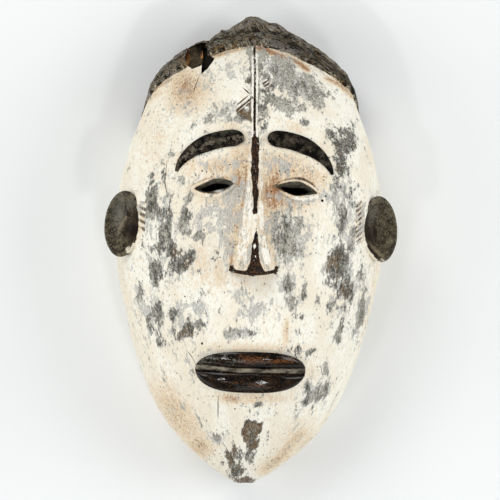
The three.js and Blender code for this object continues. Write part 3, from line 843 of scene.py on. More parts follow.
# The edge of each opening at the surface, and the slit at the foot of its bevel, point for point.
OPENINGS = {
    "left": [
        (-15.1, 46.9), (-16.3, 50.2), (-22.1, 51.1), (-30, 50.3), (-35.7, 47.3), (-44, 43.2),
        (-40.7, 40.9), (-35.6, 39.7), (-28.4, 39.4), (-21.9, 41.7),
    ],
    "right": [
        (13.9, 45.9), (22.3, 48.6), (27.8, 49.6), (33.3, 49.5), (38.9, 46.9), (46.9, 41.3),
        (41.6, 40.3), (36.4, 39.5), (30.5, 38.9), (21.7, 41.6),
    ],
}
SLITS = {
    "left": [
        (-18.6, 45.2), (-20.2, 46.6), (-24, 47), (-29.8, 46.7), (-35.2, 44.2), (-39.6, 42.5),
        (-38.2, 41.7), (-34.8, 40.7), (-28.4, 42.0), (-23.0, 43.2),
    ],
    "right": [
        (19.2, 44.9), (23.0, 45.2), (28.1, 45), (33.7, 44.7), (37.6, 43.7), (40.6, 42.2),
        (38.6, 41.0), (35.6, 40.4), (30.8, 39.6), (23.4, 41.7),
    ],
}


def eye_place(side, along, up):
    """A place given along and up the slanted eye."""
    x = EYE_X + along * np.cos(EYE_SLANT) - up * np.sin(EYE_SLANT)
    return side * x, EYE_Y + along * np.sin(EYE_SLANT) + up * np.cos(EYE_SLANT)


def closed_curve(corners, count):
    """A smooth closed curve: a Catmull-Rom curve through the corners, taken in turn."""
    corners = np.array(corners, float)
    at = np.arange(count) * len(corners) / count
    i, t = at.astype(int), (at % 1)[:, None]
    a, b, c, d = (corners[(i + shift) % len(corners)] for shift in (-1, 0, 1, 2))
    return catmull_rom(a, b, c, d, t)


slit_wall, tree, shader, place = finish_of("slit wall")
smudge = noise(tree, place, 420.0, 5.0, 0.65)
colour = blend(tree, ramped(tree, smudge, 0.3, 0.7), linear(34, 32, 24), linear(118, 114, 98))
colour = blend(tree, marked(tree, "rust_and_fold_light"), colour, linear(104, 76, 48))
# Deep down the slit the wall is darkened further: painted shade.
colour = blend(tree, maths(tree, "MULTIPLY", marked(tree, "deep_shade"), 0.9), colour, linear(24, 17, 11))
# The white spot on the lower bevel of the left slit is a painted highlight.
colour = blend(tree, marked(tree, "chalk_and_light"), colour, linear(236, 232, 222))
settle(tree, shader, colour, 0.75, bump=(smudge, 0.0006, 0.8))

# Thin creases cut round the lids.
LID_CREASES = [
    [(-45.7, 41.7), (-42.5, 44.7), (-37.9, 47.7), (-34, 49.7)],
    [(9.9, 45.4), (14.3, 46.5), (19, 48.5)],
    [(20.1, 49.8), (23.7, 51.5), (28.1, 52.6), (34.8, 52.1), (39.3, 50), (43.8, 47), (48.3, 43)],
]
cuts += grooves("lid crease", LID_CREASES, 0.9, 0.28, scored_dark)

eyelids, slits = [], []
for side in (-1, 1):
    which = "left" if side < 0 else "right"
    u, v = unit_grid(64, 28)
    a, b = 2 * u - 1, 2 * v - 1
    bow = np.maximum(1 - np.abs(a) ** 1.9, 0.03)
    x, y = eye_place(side, a * LID_HALF, mix(-LID_DOWN, LID_UP, v) * bow)
    height = 0.25 + 2.4 * (1 - a**4) * (1 - 0.7 * b**4) * smooth((1 - np.abs(b)) * 5 + 0.12)
    eyelids.append(raised(f"eyelids {which}", x, y, height, clay))

    edge, slit = closed_curve(OPENINGS[which], 70), closed_curve(SLITS[which], 70)
    rings = []
    for height in (6, 4, 2.4, 1, -1, -3, -4.6, -6, -10, -18):
        share = clamp((BEVEL_TOP - height) / (BEVEL_TOP - BEVEL_BOTTOM), -0.4, 1)
        x, y = mix(edge, slit, share).T
        ripple = 0.22 * drifting(x / 1.9, y / 1.3 + height / 3, 33)
        rings.append(np.stack([x, y + ripple, surface_z(x, y) + height], -1))
    slits.append(loft(f"slit {which}", np.stack(rings), slit_wall))


# The mouth is one oval of two long lips that meet along a narrow raised seam. The lips are stained
# almost black and polished by handling; the seam is rubbed pale.
MOUTH_Y = -88.5
MOUTH_HALF = 40.5
LIP_UP, LIP_DOWN = 13.3, 17
SEAM_HALF = 1.8

lip_polish, tree, shader, place = finish_of("polished lips")
sideways = add(tree, "ShaderNodeMapping", {"Vector": place, "Scale": (0.35, 1.0, 1.0)}).outputs[0]
smudge = noise(tree, sideways, 260.0, 6.0, 0.65)
lip_grit = noise(tree, place, 1100.0, 3.0, 0.7)
colour = blend(tree, ramped(tree, smudge, 0.44, 0.68), linear(2, 1, 0), linear(40, 25, 13))
colour = blend(tree, ramped(tree, lip_grit, 0.58, 0.68, 0.0, 0.7), colour, linear(112, 86, 58))
rust_and_fold_light = ragged(tree, sideways, marked(tree, "rust_and_fold_light"), (240.0, 3.0), (900.0, 2.4), 0.15, 0.3)["Mask"]
colour = blend(tree, maths(tree, "MULTIPLY", rust_and_fold_light, 0.85), colour,
               blend(tree, ramped(tree, lip_grit, 0.42, 0.66), linear(44, 22, 8), linear(132, 84, 46)))
dust_and_painted_light = ragged(tree, place, marked(tree, "dust_and_painted_light"), (260.0, 2.8), (900.0, 2.6), 0.1, 0.35)["Mask"]
colour = blend(tree, maths(tree, "MULTIPLY", dust_and_painted_light, 0.75), colour, linear(112, 108, 98))
seam = ragged(tree, sideways, marked(tree, "seam"), (240.0, 1.5), (900.0, 1.2), 0.15)["Mask"]
seam_tone = blend(tree, ramped(tree, smudge, 0.35, 0.65), linear(50, 44, 34), linear(142, 134, 116))
colour = blend(tree, seam, colour, seam_tone)
rough = maths(tree, "MULTIPLY_ADD", seam, 0.4, ramped(tree, smudge, 0.3, 0.7, 0.08, 0.16))
rough = maths(tree, "MULTIPLY_ADD", dust_and_painted_light, 0.35, rough)
settle(tree, shader, colour, rough, 0.25, (smudge, 0.0003, 0.12))


def seam_y(x):
    """Height of the seam across the mouth: it rises a little towards the left corner."""
    return MOUTH_Y - 0.5 + 1.7 * smooth((-x - 5) / 36)


u, v = unit_grid(120, 60)
along = np.sin(np.radians(mix(-90, 90, u)))
bow = np.maximum((1 - np.abs(along) ** 3.1) ** 0.5, 0.05)
lip_side = 2 * v - 1
reach = np.where(lip_side < 0, LIP_DOWN, LIP_UP) * bow
x, y = along * MOUTH_HALF, MOUTH_Y + lip_side * reach
from_seam = np.abs(y - seam_y(x))
seam_half = SEAM_HALF + 0.3 * np.abs(along) ** 3
share = clamp((from_seam - seam_half - 0.4) / np.maximum(reach - seam_half - 0.4, 0.5))
lip = mix(1.2, 4.9, np.sin(share * np.pi * 0.86) ** 0.6)
strip = 2.6 - 1.3 * (from_seam / seam_half) ** 2
height = np.where(from_seam < seam_half, strip, lip) * (1 - 0.45 * np.abs(2 * u - 1) ** 5)
height = height + 0.13 * drifting(x / 7, y / 1.6, 41)
lips = raised("lips", x, y, height, lip_polish)


# The ears are ovals that stand out from the sides of the head, turned half outward. Each is
# hollowed by a cup with an upright fold in it, and is dark with handling.
EAR_X, EAR_Y, EAR_Z = 96.8, 16.4, 73
EAR_HALF, EAR_HALF_HEIGHT = 16.5, 24.9
EAR_LEAN = np.radians(35)
EAR_TILT = np.radians(7)
# How much wider the cup is on the side of the face, for the left ear and the right one.
EAR_INWARD = {-1: 0.13, 1: 0.22}
# The profiles of the ear and of its cup: share of the half width, and depth.
EAR_EDGE = [
    (0.02, 0), (0.5, 0), (0.93, 0), (1.01, -1.6), (0.95, -3.4), (0.78, -6.5), (0.45, -12), (0.02, -15),
]
EAR_CUP = [
    (0.02, -9.6), (0.3, -8.8), (0.56, -6.4), (0.76, -2.8), (0.88, 0.2), (0.94, 3), (0.94, 9), (0.02, 9),
]
EAR_COLUMNS = 80


def rounded(profile, times=2):
    """A profile with its corners cut: each edge keeps its points at one and three quarters."""
    for _ in range(times):
        near, far = profile[:-1], profile[1:]
        cut = np.stack([0.75 * near + 0.25 * far, 0.25 * near + 0.75 * far], 1).reshape(-1, 2)
        profile = np.vstack([profile[:1], cut, profile[-1:]])
    return profile


def ear_oval(name, side, profile, fold, finish):
    """A profile turned round the ear's axis into an oval, then leaned, tilted and set on the head."""
    profile = rounded(np.array(profile, float))
    turn = np.linspace(0, 2 * np.pi, EAR_COLUMNS + 1)[:-1]
    r, depth = profile[:, :1], profile[:, 1:]
    tall = EAR_HALF_HEIGHT * r * np.cos(turn)
    inward = EAR_INWARD[side] * (1 - np.minimum(tall / EAR_HALF_HEIGHT, 1) ** 2).clip(0) ** 1.5
    wide = EAR_HALF * r * np.sin(turn) * np.where(np.sin(turn) < 0, 1 + inward, 1)
    line = 4.5 - 3.5 * (tall / EAR_HALF_HEIGHT) ** 2
    folded = fold * np.exp(-(((-wide - line + 6.5) / 2.3) ** 2)) * smooth((0.88 - r) * 5)
    depth = depth + folded + 0.18 * drifting(wide / 3, tall / 4, 51) * smooth(r * 3)
    c, s = np.cos(EAR_TILT), np.sin(EAR_TILT)
    wide, tall = wide * c - tall * s, wide * s + tall * c
    x = EAR_X + wide * np.cos(EAR_LEAN) + depth * np.sin(EAR_LEAN)
    z = EAR_Z - wide * np.sin(EAR_LEAN) + depth * np.cos(EAR_LEAN)
    return loft(name, np.stack([side * x, EAR_Y + tall, z], -1), finish)


ear_finish, tree, shader, place = finish_of("handled ear")
grain = use(tree, GRAIN, {"Vector": place, "Fibres": 600.0})
smudge = noise(tree, place, 170.0, 8.0, 0.7)
colour = blend(tree, ramped(tree, smudge, 0.4, 0.62), linear(34, 27, 14), linear(106, 98, 78))
# Lighter grey on the outer flanks of the ears: painted light.
colour = blend(tree, maths(tree, "MULTIPLY", marked(tree, "wash_light_and_shade"), 0.8), colour, linear(122, 121, 112))
colour = blend(tree, maths(tree, "MULTIPLY", marked(tree, "stain_and_shade"), 0.6), colour, linear(64, 46, 22))
handled_grit = noise(tree, place, 800.0, 3.0, 0.7)
colour = blend(tree, ramped(tree, handled_grit, 0.55, 0.66, 0.0, 0.7), colour, linear(150, 142, 120))
colour = blend(tree, ramped(tree, handled_grit, 0.46, 0.34, 0.0, 0.7), colour, linear(20, 16, 9))
colour = blend(tree, maths(tree, "MULTIPLY", grain["Pores"], 0.5), colour, linear(22, 17, 10))
# Lighter along the fold ridges in the cups: a painted highlight.
fold_light = ragged(tree, place, marked(tree, "rust_and_fold_light"), (160.0, 2.0), (800.0, 1.6), 0.25)["Mask"]
colour = blend(tree, maths(tree, "MULTIPLY", fold_light, 0.75), colour, linear(142, 128, 104))
# The cups of the ears and a line along their lower edges are darkened: painted shade.
colour = blend(tree, maths(tree, "MULTIPLY", marked(tree, "deep_shade"), 0.95), colour, linear(26, 17, 5))
dust_and_painted_light = ragged(tree, place, marked(tree, "dust_and_painted_light"), (260.0, 2.4), (900.0, 2.0), 0.08, 0.3)["Mask"]
colour = blend(tree, dust_and_painted_light, colour, linear(224, 214, 192))
fibres = maths(tree, "MULTIPLY_ADD", grain["Height"], 0.7, smudge)
settle(tree, shader, colour, ramped(tree, smudge, 0.3, 0.7, 0.38, 0.6), 0.16, (fibres, 0.0006, 0.7))
ears = [ear_oval(f"ear {'left' if s < 0 else 'right'}", s, EAR_EDGE, 0.0, ear_finish) for s in (-1, 1)]
cups = [ear_oval(f"ear cup {'left' if s < 0 else 'right'}", s, EAR_CUP, 2.4, ear_finish) for s in (-1, 1)]

# In front of each ear a narrow welt is nicked across like a twisted cord, through the paint.
bare_wood, tree, shader, place = finish_of("bare wood")
grain = use(tree, GRAIN, {"Vector": place, "Fibres": 500.0})
smudge = noise(tree, place, 60.0, 6.0, 0.6)
colour = blend(tree, ramped(tree, smudge, 0.32, 0.68), linear(104, 78, 50), linear(158, 126, 88))
colour = blend(tree, maths(tree, "MULTIPLY", grain["Pores"], 0.6), colour, linear(70, 50, 32))
# Up in the hollow the bare wood is darkened with depth: painted shade.
colour = blend(tree, marked(tree, "deep_shade"), colour, linear(46, 36, 26))
fibres = maths(tree, "MULTIPLY_ADD", grain["Height"], 1.4, smudge)
rough = ramped(tree, smudge, 0.3, 0.7, 0.7, 0.88)
settle(tree, shader, colour, rough, bump=(fibres, 0.0008, 0.8))

# Each row: x, top y, bottom y, half width, distance from nick to nick, and the nicks' slant.
TWISTED_WELTS = [(-83.0, 33.0, 11.5, 3.4, 5.0, -0.5), (79.6, 36.0, 6.5, 3.2, 3.8, 0.9)]


def nick_depth(x, y, pitch, slant):
    """How far into a nick a place is, from 0 on the crests to 1: a wave along the column, slanted."""
    return (0.5 - 0.5 * np.cos(2 * np.pi * (y - slant * x) / pitch)) ** 1.6


welts = []
for x, top, bottom, half, pitch, slant in TWISTED_WELTS:
    u, v = unit_grid(100, 14)
    across = 2 * v - 1
    px, py = x + across * half, mix(top, bottom, u)
    height = 2.4 * (1 - across**2) * mix(1, 0.1, nick_depth(px, py, pitch, slant))
    height = 0.15 + height * smooth(8 * u) * smooth(8 - 8 * u)
    welts.append(raised(f"twisted welt {len(welts) + 1}", px, py, height, clay))


# The back is hollowed out with a gouge, one wall thickness inside the head, and left bare.
WALL_SIDE = 11
WALL_END = 14
WALL_FACE = 12
HOLLOW_POWER = 2.2
STRAIGHT = 9
HOLLOW_TOP = SIDE_WALL + DOME_HEIGHT - WALL_FACE


def hollow_radius(phi):
    """Distance from the centre to the hollow's edge: the rim's own radius less the wall there."""
    wall = mix(WALL_SIDE, WALL_END, np.abs(np.cos(phi)) ** 3)
    return (1 - RIM_TAPER) * ring_radius(phi, np.ones_like(phi)) - wall


def hollow_z(k):
    """Height of the hollow's ceiling at fraction k of its radius: sqrt(1 - k ** power) of its rise."""
    return STRAIGHT + (HOLLOW_TOP - STRAIGHT) * np.sqrt(clamp(1 - k**HOLLOW_POWER))


def hollow_point(t, phi):
    """The hollow: a lower dome inside the head, straight down below its spring and out at the rim."""
    k = np.sin(np.minimum(t / 0.92, 1) * np.pi / 2)
    radius = k * hollow_radius(phi)
    z = hollow_z(k)
    z = np.where(t > 0.92, mix(STRAIGHT, -1, smooth((t - 0.92) / 0.08)), z)
    x, y = radius * np.sin(phi), CENTRE_Y + radius * np.cos(phi)
    scoops = 0.55 * np.abs(drifting(x / 7 + 3, y / 17 + z / 30, 61)) + 0.2 * drifting(x / 2.2, y / 9, 62)
    inward = (1 - scoops / np.maximum(radius, 30))
    return np.stack([x * inward, CENTRE_Y + (y - CENTRE_Y) * inward, z - scoops * smooth((z - 2) / 10)], -1)


hollow = cap("hollow", 50, 84, hollow_point, -1.0, bare_wood)


# Wood has broken away between the hair and the left of the forehead: a pocket with torn walls, a
# gap beside it that opens into the hollow, and a notch where the edge of the hair has chipped off.
POCKET = [
    (-50.5, 136.4), (-51.9, 141.3), (-50.3, 149.7), (-46.7, 151.5), (-40.4, 153.6), (-36.5, 153.2),
    (-36.6, 145.5), (-38.6, 140.7), (-39.7, 135.3), (-47, 132.4),
]
GAP = [
    (-38.8, 150.5), (-35.5, 150.1), (-35.2, 143.7), (-30.3, 140.5), (-35.3, 132.7), (-40.1, 128.4),
    (-39.7, 135.4), (-38.6, 143.2),
]
# The lower corner of the gap goes right through.
GAP_FOOT = [(-39.3, 134.4), (-36.2, 133.4), (-38.2, 130.2), (-39.9, 129.2)]
NOTCH = [
    (-50.4, 149.4), (-46.6, 152.3), (-43.3, 154), (-38, 156.5), (-36.2, 155), (-34.7, 151.2),
    (-34.1, 153.5), (-33.2, 155.7), (-31.5, 158.4), (-28.9, 160.5), (-25.6, 162.3), (-21.6, 178),
    (-56.7, 168),
]


def torn_cut(name, outline, floor, finish, seed, splinter=0.5):
    """A shaft cut straight down to a floor, its walls splintered by noise that follows the grain.

    The floor is a height, or if negative it lies that far below the face and the hair.
    """
    outline = np.array(outline, float)
    corners = np.vstack([outline, outline[:1]])
    lengths = np.concatenate([[0], np.cumsum(np.linalg.norm(np.diff(corners, axis=0), axis=1))])
    at = np.linspace(0, lengths[-1], 81)[:-1]
    x, y = (np.interp(at, lengths, corners[:, i]) for i in (0, 1))
    middle_x, middle_y = x.mean(), y.mean()
    rings = []
    for share in np.linspace(1, 0, 13):
        rough = splinter * drifting(at / 1.6, np.full_like(at, share * 5), seed)
        reach = np.hypot(x - middle_x, y - middle_y)
        grown = 1 + rough / np.maximum(reach, 1)
        flat = np.maximum(surface_z(x, y), 48) if floor < 0 else 0
        z = mix(floor + flat + 0.5 * rough, 120, share)
        wall_x, wall_y = middle_x + (x - middle_x) * grown, middle_y + (y - middle_y) * grown
        rings.append(np.stack([wall_x, wall_y, z], -1))
    return loft(name, np.stack(rings), finish)


torn_wood, tree, shader, place = finish_of("torn wood")
grain = use(tree, GRAIN, {"Vector": place, "Fibres": 420.0})
smudge = noise(tree, place, 160.0, 6.0, 0.7)
colour = blend(tree, ramped(tree, smudge, 0.35, 0.65), linear(38, 31, 20), linear(88, 75, 53))
colour = blend(tree, maths(tree, "MULTIPLY", grain["Pores"], 0.7), colour, linear(34, 27, 18))
fresh = ragged(tree, place, marked(tree, "rust_and_fold_light"), (240.0, 1.4), (900.0, 1.4), 0.2)["Mask"]
colour = blend(tree, fresh, colour, linear(178, 122, 68))
# Deep in the break the torn wood is darkened: painted shade.
colour = blend(tree, marked(tree, "deep_shade"), colour, linear(20, 14, 8))
fibres = maths(tree, "MULTIPLY_ADD", grain["Height"], 2.0, smudge)
settle(tree, shader, colour, 0.85, 0.2, (fibres, 0.0012, 0.9))

breaks = [
    torn_cut("pocket", POCKET, -5, torn_wood, 71, 0.4),
    torn_cut("gap", GAP, -9, torn_wood, 72, 0.3),
    torn_cut("gap foot", GAP_FOOT, 20, torn_wood, 74, 0.2),
    torn_cut("notch", NOTCH, 12, hair_soot_and_shade, 73, 0.5),
]

# Age has split the face along its grain in a few places, and worms have bored into it.
SPLITS = [
    [(-41, 128), (-44.7, 118.3), (-46.1, 112.9)],
    [(-23.2, -108.1), (-22.5, -127)],
    [(-46.7, -75.5), (-43, -80.5), (-39, -88.5)],
    [(-20.5, -141), (-12.6, -153.5), (-8.5, -163)],
    [(51.5, -84), (55, -95)],
    [(68, -105.2), (64.5, -114.3), (60.5, -124.1)],
    [(-64, 66), (-65.5, 48), (-63.5, 38)],
]
cuts += grooves("split", SPLITS, 0.6, 1.2, torn_wood)

# Each worm hole: x, y and radius.
WORM_HOLES = [
    (49.9, 36.1, 1.1), (52.4, 39.5, 0.7), (-36, -70.1, 0.9), (-36.4, 12.8, 0.6), (-49, -36, 0.6),
    (18, 57, 0.6), (-38.5, 56, 0.6), (60, -20, 0.7), (-10.5, -118, 0.6), (-43, 52.6, 0.5),
    (-35.2, 55.1, 0.5), (-31.8, 52.2, 0.45), (12.1, 41.9, 0.5),
]
turn = np.linspace(0, 2 * np.pi, 13)[:-1]
for x, y, radius in WORM_HOLES:
    at = np.array([x, y]).reshape(2, 1)
    n = face_normal(*at)[0]
    sideways = np.cross(n, [0, 1, 0])
    sideways /= np.linalg.norm(sideways)
    upward = np.cross(sideways, n)
    circle = radius * (np.outer(np.cos(turn), sideways) + np.outer(np.sin(turn), upward))
    middle = np.array([x, y, surface_z(*at)[0]])
    bore = np.stack([middle + n * 2 + circle, middle - n * 5 + circle])
    cuts.append(loft(f"worm hole {len(cuts) + 1}", bore, torn_wood))


# All of it is one piece of wood: what stands proud is joined to the head, and what is cut away is
# taken out of it. Every face keeps the finish of the shape that it comes from.
def carve(tool, operation):
    """One step of the carving, left as a modifier on the head."""
    step = head.modifiers.new(tool.name, "BOOLEAN")
    step.operation = operation
    step.solver = "MANIFOLD"
    step.material_mode = "TRANSFER"
    step.object = tool


for tool in [hair, nose, rib, lips, *brows, *eyelids, *ears, *welts]:
    carve(tool, "UNION")
for tool in [*cups, *slits, hollow, *breaks, *cuts]:
    carve(tool, "DIFFERENCE")

graph = bpy.context.evaluated_depsgraph_get()
graph.update()
carving = bpy.data.meshes.new_from_object(head.evaluated_get(graph))
carving.name = "carved_mask"
for made in [step.object for step in head.modifiers] + [head]:
    bpy.data.objects.remove(made, do_unlink=True)
carving.shade_smooth()
carving.set_sharp_from_angle(angle=np.radians(38))

points = np.empty(len(carving.vertices) * 3)
carving.vertices.foreach_get("co", points)
px, py, pz = (points.reshape(-1, 3) / MM).T


def mark(name, values):
    """Keeps one number for every point of the mask, for the finishes to read."""
    kept = carving.attributes.new(name, "FLOAT", "POINT")
    kept.data.foreach_set("value", np.asarray(values, np.float32))


def mark_place(name, *place):
    """Keeps one place in metres for every point of the mask, for a finish to read its noise at."""
    kept = carving.attributes.new(name, "FLOAT_VECTOR", "POINT")
    kept.data.foreach_set("vector", (np.stack(place, -1) * MM).astype(np.float32).ravel())


def spots(places):
    """The strongest of many soft spots at each point: strength * exp(-0.7 * d), d squared distance.

    A place is x, y, half width, half height, turn in degrees and strength.
    """
    field = np.zeros_like(px)
    for x, y, half_width, half_height, turn, strength in places:
        c, s = np.cos(np.radians(turn)), np.sin(np.radians(turn))
        a = ((px - x) * c + (py - y) * s) / half_width
        b = ((py - y) * c - (px - x) * s) / half_height
        field = np.maximum(field, strength * np.exp(-0.7 * (a * a + b * b) ** 1.2))
    return field


# Where the paint has flaked off: x, y, half width, half height, turn, strength, and how brown the
# wood is there (0 slate-grey, 1 brown).
BARED = [
    # forehead, right of the rib
    (18.5, 135.1, 16, 6.1, -25, 0.85, 0.08), (28, 124, 19, 8.4, -20, 0.92, 0.12),
    (43.8, 114.1, 9.1, 6.8, -40, 0.85, 0.2), (21.9, 106.4, 12.9, 5.3, -15, 0.95, 0.1),
    (36, 93.4, 3.8, 3, 0, 0.9, 0.1), (4.2, 99.8, 4.6, 9.9, 10, 1, 0.25),
    (4.3, 142.2, 3, 9.1, 0, 0.9, 0.1), (-3, 145, 3, 8, 0, 0.9, 0.2),
    (8.6, 108.9, 6.1, 5.3, 0, 0.7, 0.1),
    # forehead, left of the rib
    (-7.4, 101.1, 4, 5, 0, 0.4, 0.95), (-13.2, 95.1, 9.1, 3, 10, 0.9, 0.2),
    (8.4, 118.8, 5.4, 3.4, 20, 1.05, 0.6), (7.5, 126.5, 5, 3.6, 0, 0.95, 0.3),
    (-33.5, 93.4, 8.4, 3, 30, 0.8, 0.1), (-5.4, 123.6, 2.3, 3.8, 0, 0.9, 0.5),
    (-24.9, 99.4, 5.3, 2.3, 20, 0.7, 0.1), (-46.5, 87.4, 4.6, 1.9, 40, 0.6, 0.1),
    # right temple
    (67.7, 80.9, 7.6, 10.6, 0, 1.1, 0.6), (63.7, 64.3, 4.6, 11.4, 10, 1.05, 0.5),
    (59.1, 47.1, 4.6, 6.8, -10, 0.9, 0.2), (67.8, 28.3, 5.4, 19, 0, 0.72, 0.2),
    (72.9, 7.8, 4.6, 10.6, 0, 0.9, 0.3), (54.3, 83.1, 3, 4.6, 0, 0.7, 0.2),
    # left temple
    (-75.4, 34.9, 6.4, 13.7, 0, 0.85, 0.35), (-64, 15.2, 4.6, 19, 0, 0.88, 0.35),
    (-51.8, 19.8, 4.6, 9, -10, 0.85, 0.2), (-42.9, 9, 9.1, 3.8, -15, 0.9, 0.2),
    (-49.2, 34.4, 3, 3, 0, 0.9, 0.2), (-53.8, 49, 3, 3.4, 0, 0.9, 0.2),
    (-67, 54.9, 1.9, 10.6, 0, 0.8, 0.2), (-61.4, 69.7, 1.5, 6.1, 0, 0.6, 0.2),
    # left cheek
    (-64.4, -2.4, 15, 5.6, -10, 0.9, 0.5), (-51.9, -10.9, 9.6, 5.4, 20, 0.95, 0.45),
    (-70.6, -18.7, 4.2, 12, 0, 0.85, 0.5), (-81.3, -35.4, 3, 9.1, 0, 0.9, 0.3),
    (-69.2, -50.5, 3.8, 7.6, 15, 0.9, 0.4), (-74.1, -60.5, 2.7, 6.8, 15, 0.9, 0.5),
    (-66.5, -71.3, 3.4, 6.1, 20, 0.85, 0.5), (-38.7, -17.9, 3.8, 3, 0, 0.85, 0.3),
    (-56.8, -48.5, 5.3, 4.6, 0, 0.8, 0.5), (-47, -62.1, 6.1, 6.1, 30, 0.9, 0.7),
    (-37.7, -56.6, 4.6, 3.8, 0, 0.85, 0.3),
    # right cheek
    (64.1, -10, 8, 12.2, 5, 1.25, 0.5), (69, -28, 6.5, 8, 0, 1.2, 0.55), (60.5, -21, 5, 6, 0, 1, 0.45),
    (66, -62, 2.6, 9, -8, 0.85, 0.3), (57.4, -40.2, 3, 3.8, 0, 0.95, 0.3),
    (66.1, -42.4, 3.8, 3, 0, 0.9, 0.3), (82.9, -47, 4.6, 10.6, -10, 0.85, 0.25),
    (82.2, -23.1, 2.7, 12.2, 0, 0.8, 0.3), (48.9, -36.6, 2.3, 4.6, 0, 0.7, 0.2),
    # beside the nose
    (23.1, 12.5, 9.9, 11.4, 0, 0.95, 0.1), (26.5, 25.7, 3, 6.1, 10, 0.8, 0.2),
    (26.3, 1, 9.1, 6.8, 0, 0.9, 0.1), (26.9, -26.5, 4.2, 6, 0, 0.75, 0.2),
    (28, -38.3, 5.3, 5.3, 0, 0.9, 0.25), (36.6, -27.2, 3, 7.6, 0, 0.8, 0.2),
    (36.5, -49.2, 3, 2.3, 0, 0.75, 0.5), (33.2, -60.2, 3, 2.3, 0, 0.85, 0.3),
    # round the mouth
    (-8.6, -61.7, 10.6, 3.4, 0, 0.9, 0.05), (33.7, -73.5, 4.6, 2.7, -20, 0.9, 0.3),
    (43.5, -75, 3.8, 2.3, 0, 0.8, 0.3), (49.1, -106.7, 9.9, 5.3, 30, 1.05, 0.25),
    (55.8, -87.1, 2.3, 7.6, 10, 0.75, 0.2), (44.1, -102, 3, 6.1, 20, 0.85, 0.2),
    # chin
    (2.6, -133.7, 6, 6.1, 0, 0.4, 0.7), (3.8, -143.7, 4, 6.8, 0, 0.4, 0.6),
    (-11, -157, 6, 8.6, -35, 0.82, 0.8), (0, -154.9, 6.1, 5.3, 0, 0.95, 0.3),
    (-6.1, -165.7, 5.3, 6.8, -30, 1.05, 0.7), (0.1, -175.5, 7.6, 3, 0, 1.25, 0.9),
    (-21.3, -139.4, 4.6, 3, 0, 0.75, 0.2), (6.9, -113.9, 3.8, 1.5, 0, 0.8, 0.5),
]
# Where the paint is rubbed thin and looks grey, as above without brown. The first three rows lie on the
# ears and
# lighten their outer flanks to grey: painted light.
WASHED = [
    (-99, 24, 4.5, 12, -8, 0.75), (-90.5, 31, 3, 4, 0, 0.6), (90, 27, 5, 7, 0, 0.55),
    (17.6, 128.2, 18.2, 13.7, -20, 0.8), (32.5, 118.9, 16.7, 12.2, -20, 0.7),
    (-33.8, 123.6, 15.2, 7.6, 30, 0.45), (-22.7, 99.4, 19, 6.1, 15, 0.6), (-18, 132, 14, 9, 20, 0.5),
    (-55.4, 97.2, 15.2, 10.6, 30, 0.35), (-23.7, 24.6, 19.8, 15.2, 0, 0.6),
    (-33.6, 15.7, 18.2, 9.1, 0, 0.55), (-68.4, 15.9, 14.7, 28.4, 0, 0.45),
    (-64.2, -11.2, 17.8, 17.8, 0, 0.48), (26, 10.4, 15.2, 21.3, 0, 0.75), (66.3, 26, 9.6, 38, 0, 0.55),
    (68.4, -21.7, 13.7, 25.8, 0, 0.65), (83.8, -47.8, 6.1, 22.8, -10, 0.6),
    (-74.4, -47, 12.2, 22.8, 10, 0.5), (-53.8, -52.1, 15.2, 15.2, 0, 0.5),
    (-9.3, -35.4, 8.4, 6.1, 0, 0.8), (-0.3, -46.8, 9.1, 6.1, 0, 0.75), (10.5, -42.3, 6.8, 3.8, 20, 0.7),
    (-8.6, -61.7, 12.9, 5.3, 0, 0.85), (27, -31, 9.6, 15.2, 0, 0.68),
    (48.9, -103.6, 13.7, 10.6, 20, 0.6), (-22, -141, 6.8, 4.6, 0, 0.6),
    (39.2, -134.3, 4.6, 19.8, 15, 0.35), (17.3, -153.4, 6.1, 7.6, 0, 0.3),
    (-18.1, 2.2, 7.6, 18.2, 0, 0.55), (-20, 22, 9, 14, 0, 0.9), (-48, -78, 22, 24, 0, 0.3),
    (-37.5, -43, 7, 7, 20, 0.75), (-26, 62, 17, 8, 10, 0.6), (20, 63, 17, 7, -10, 0.63),
    (-17, 40, 8, 12, 0, 0.92), (-3.5, 82, 14, 10, 0, 0.55), (44, 40, 12, 8, 0, 0.55),
    (-8.5, 40, 2.5, 8, 0, 0.7), (-31, 52, 15, 3.6, 8, 0.5), (31, 52.5, 16, 3.6, -8, 0.5),
    (30, 36, 15, 3.4, -6, 0.45), (-11, 14, 4.5, 24, 8, 0.45), (9.5, 18, 4, 22, -6, 0.4),
]
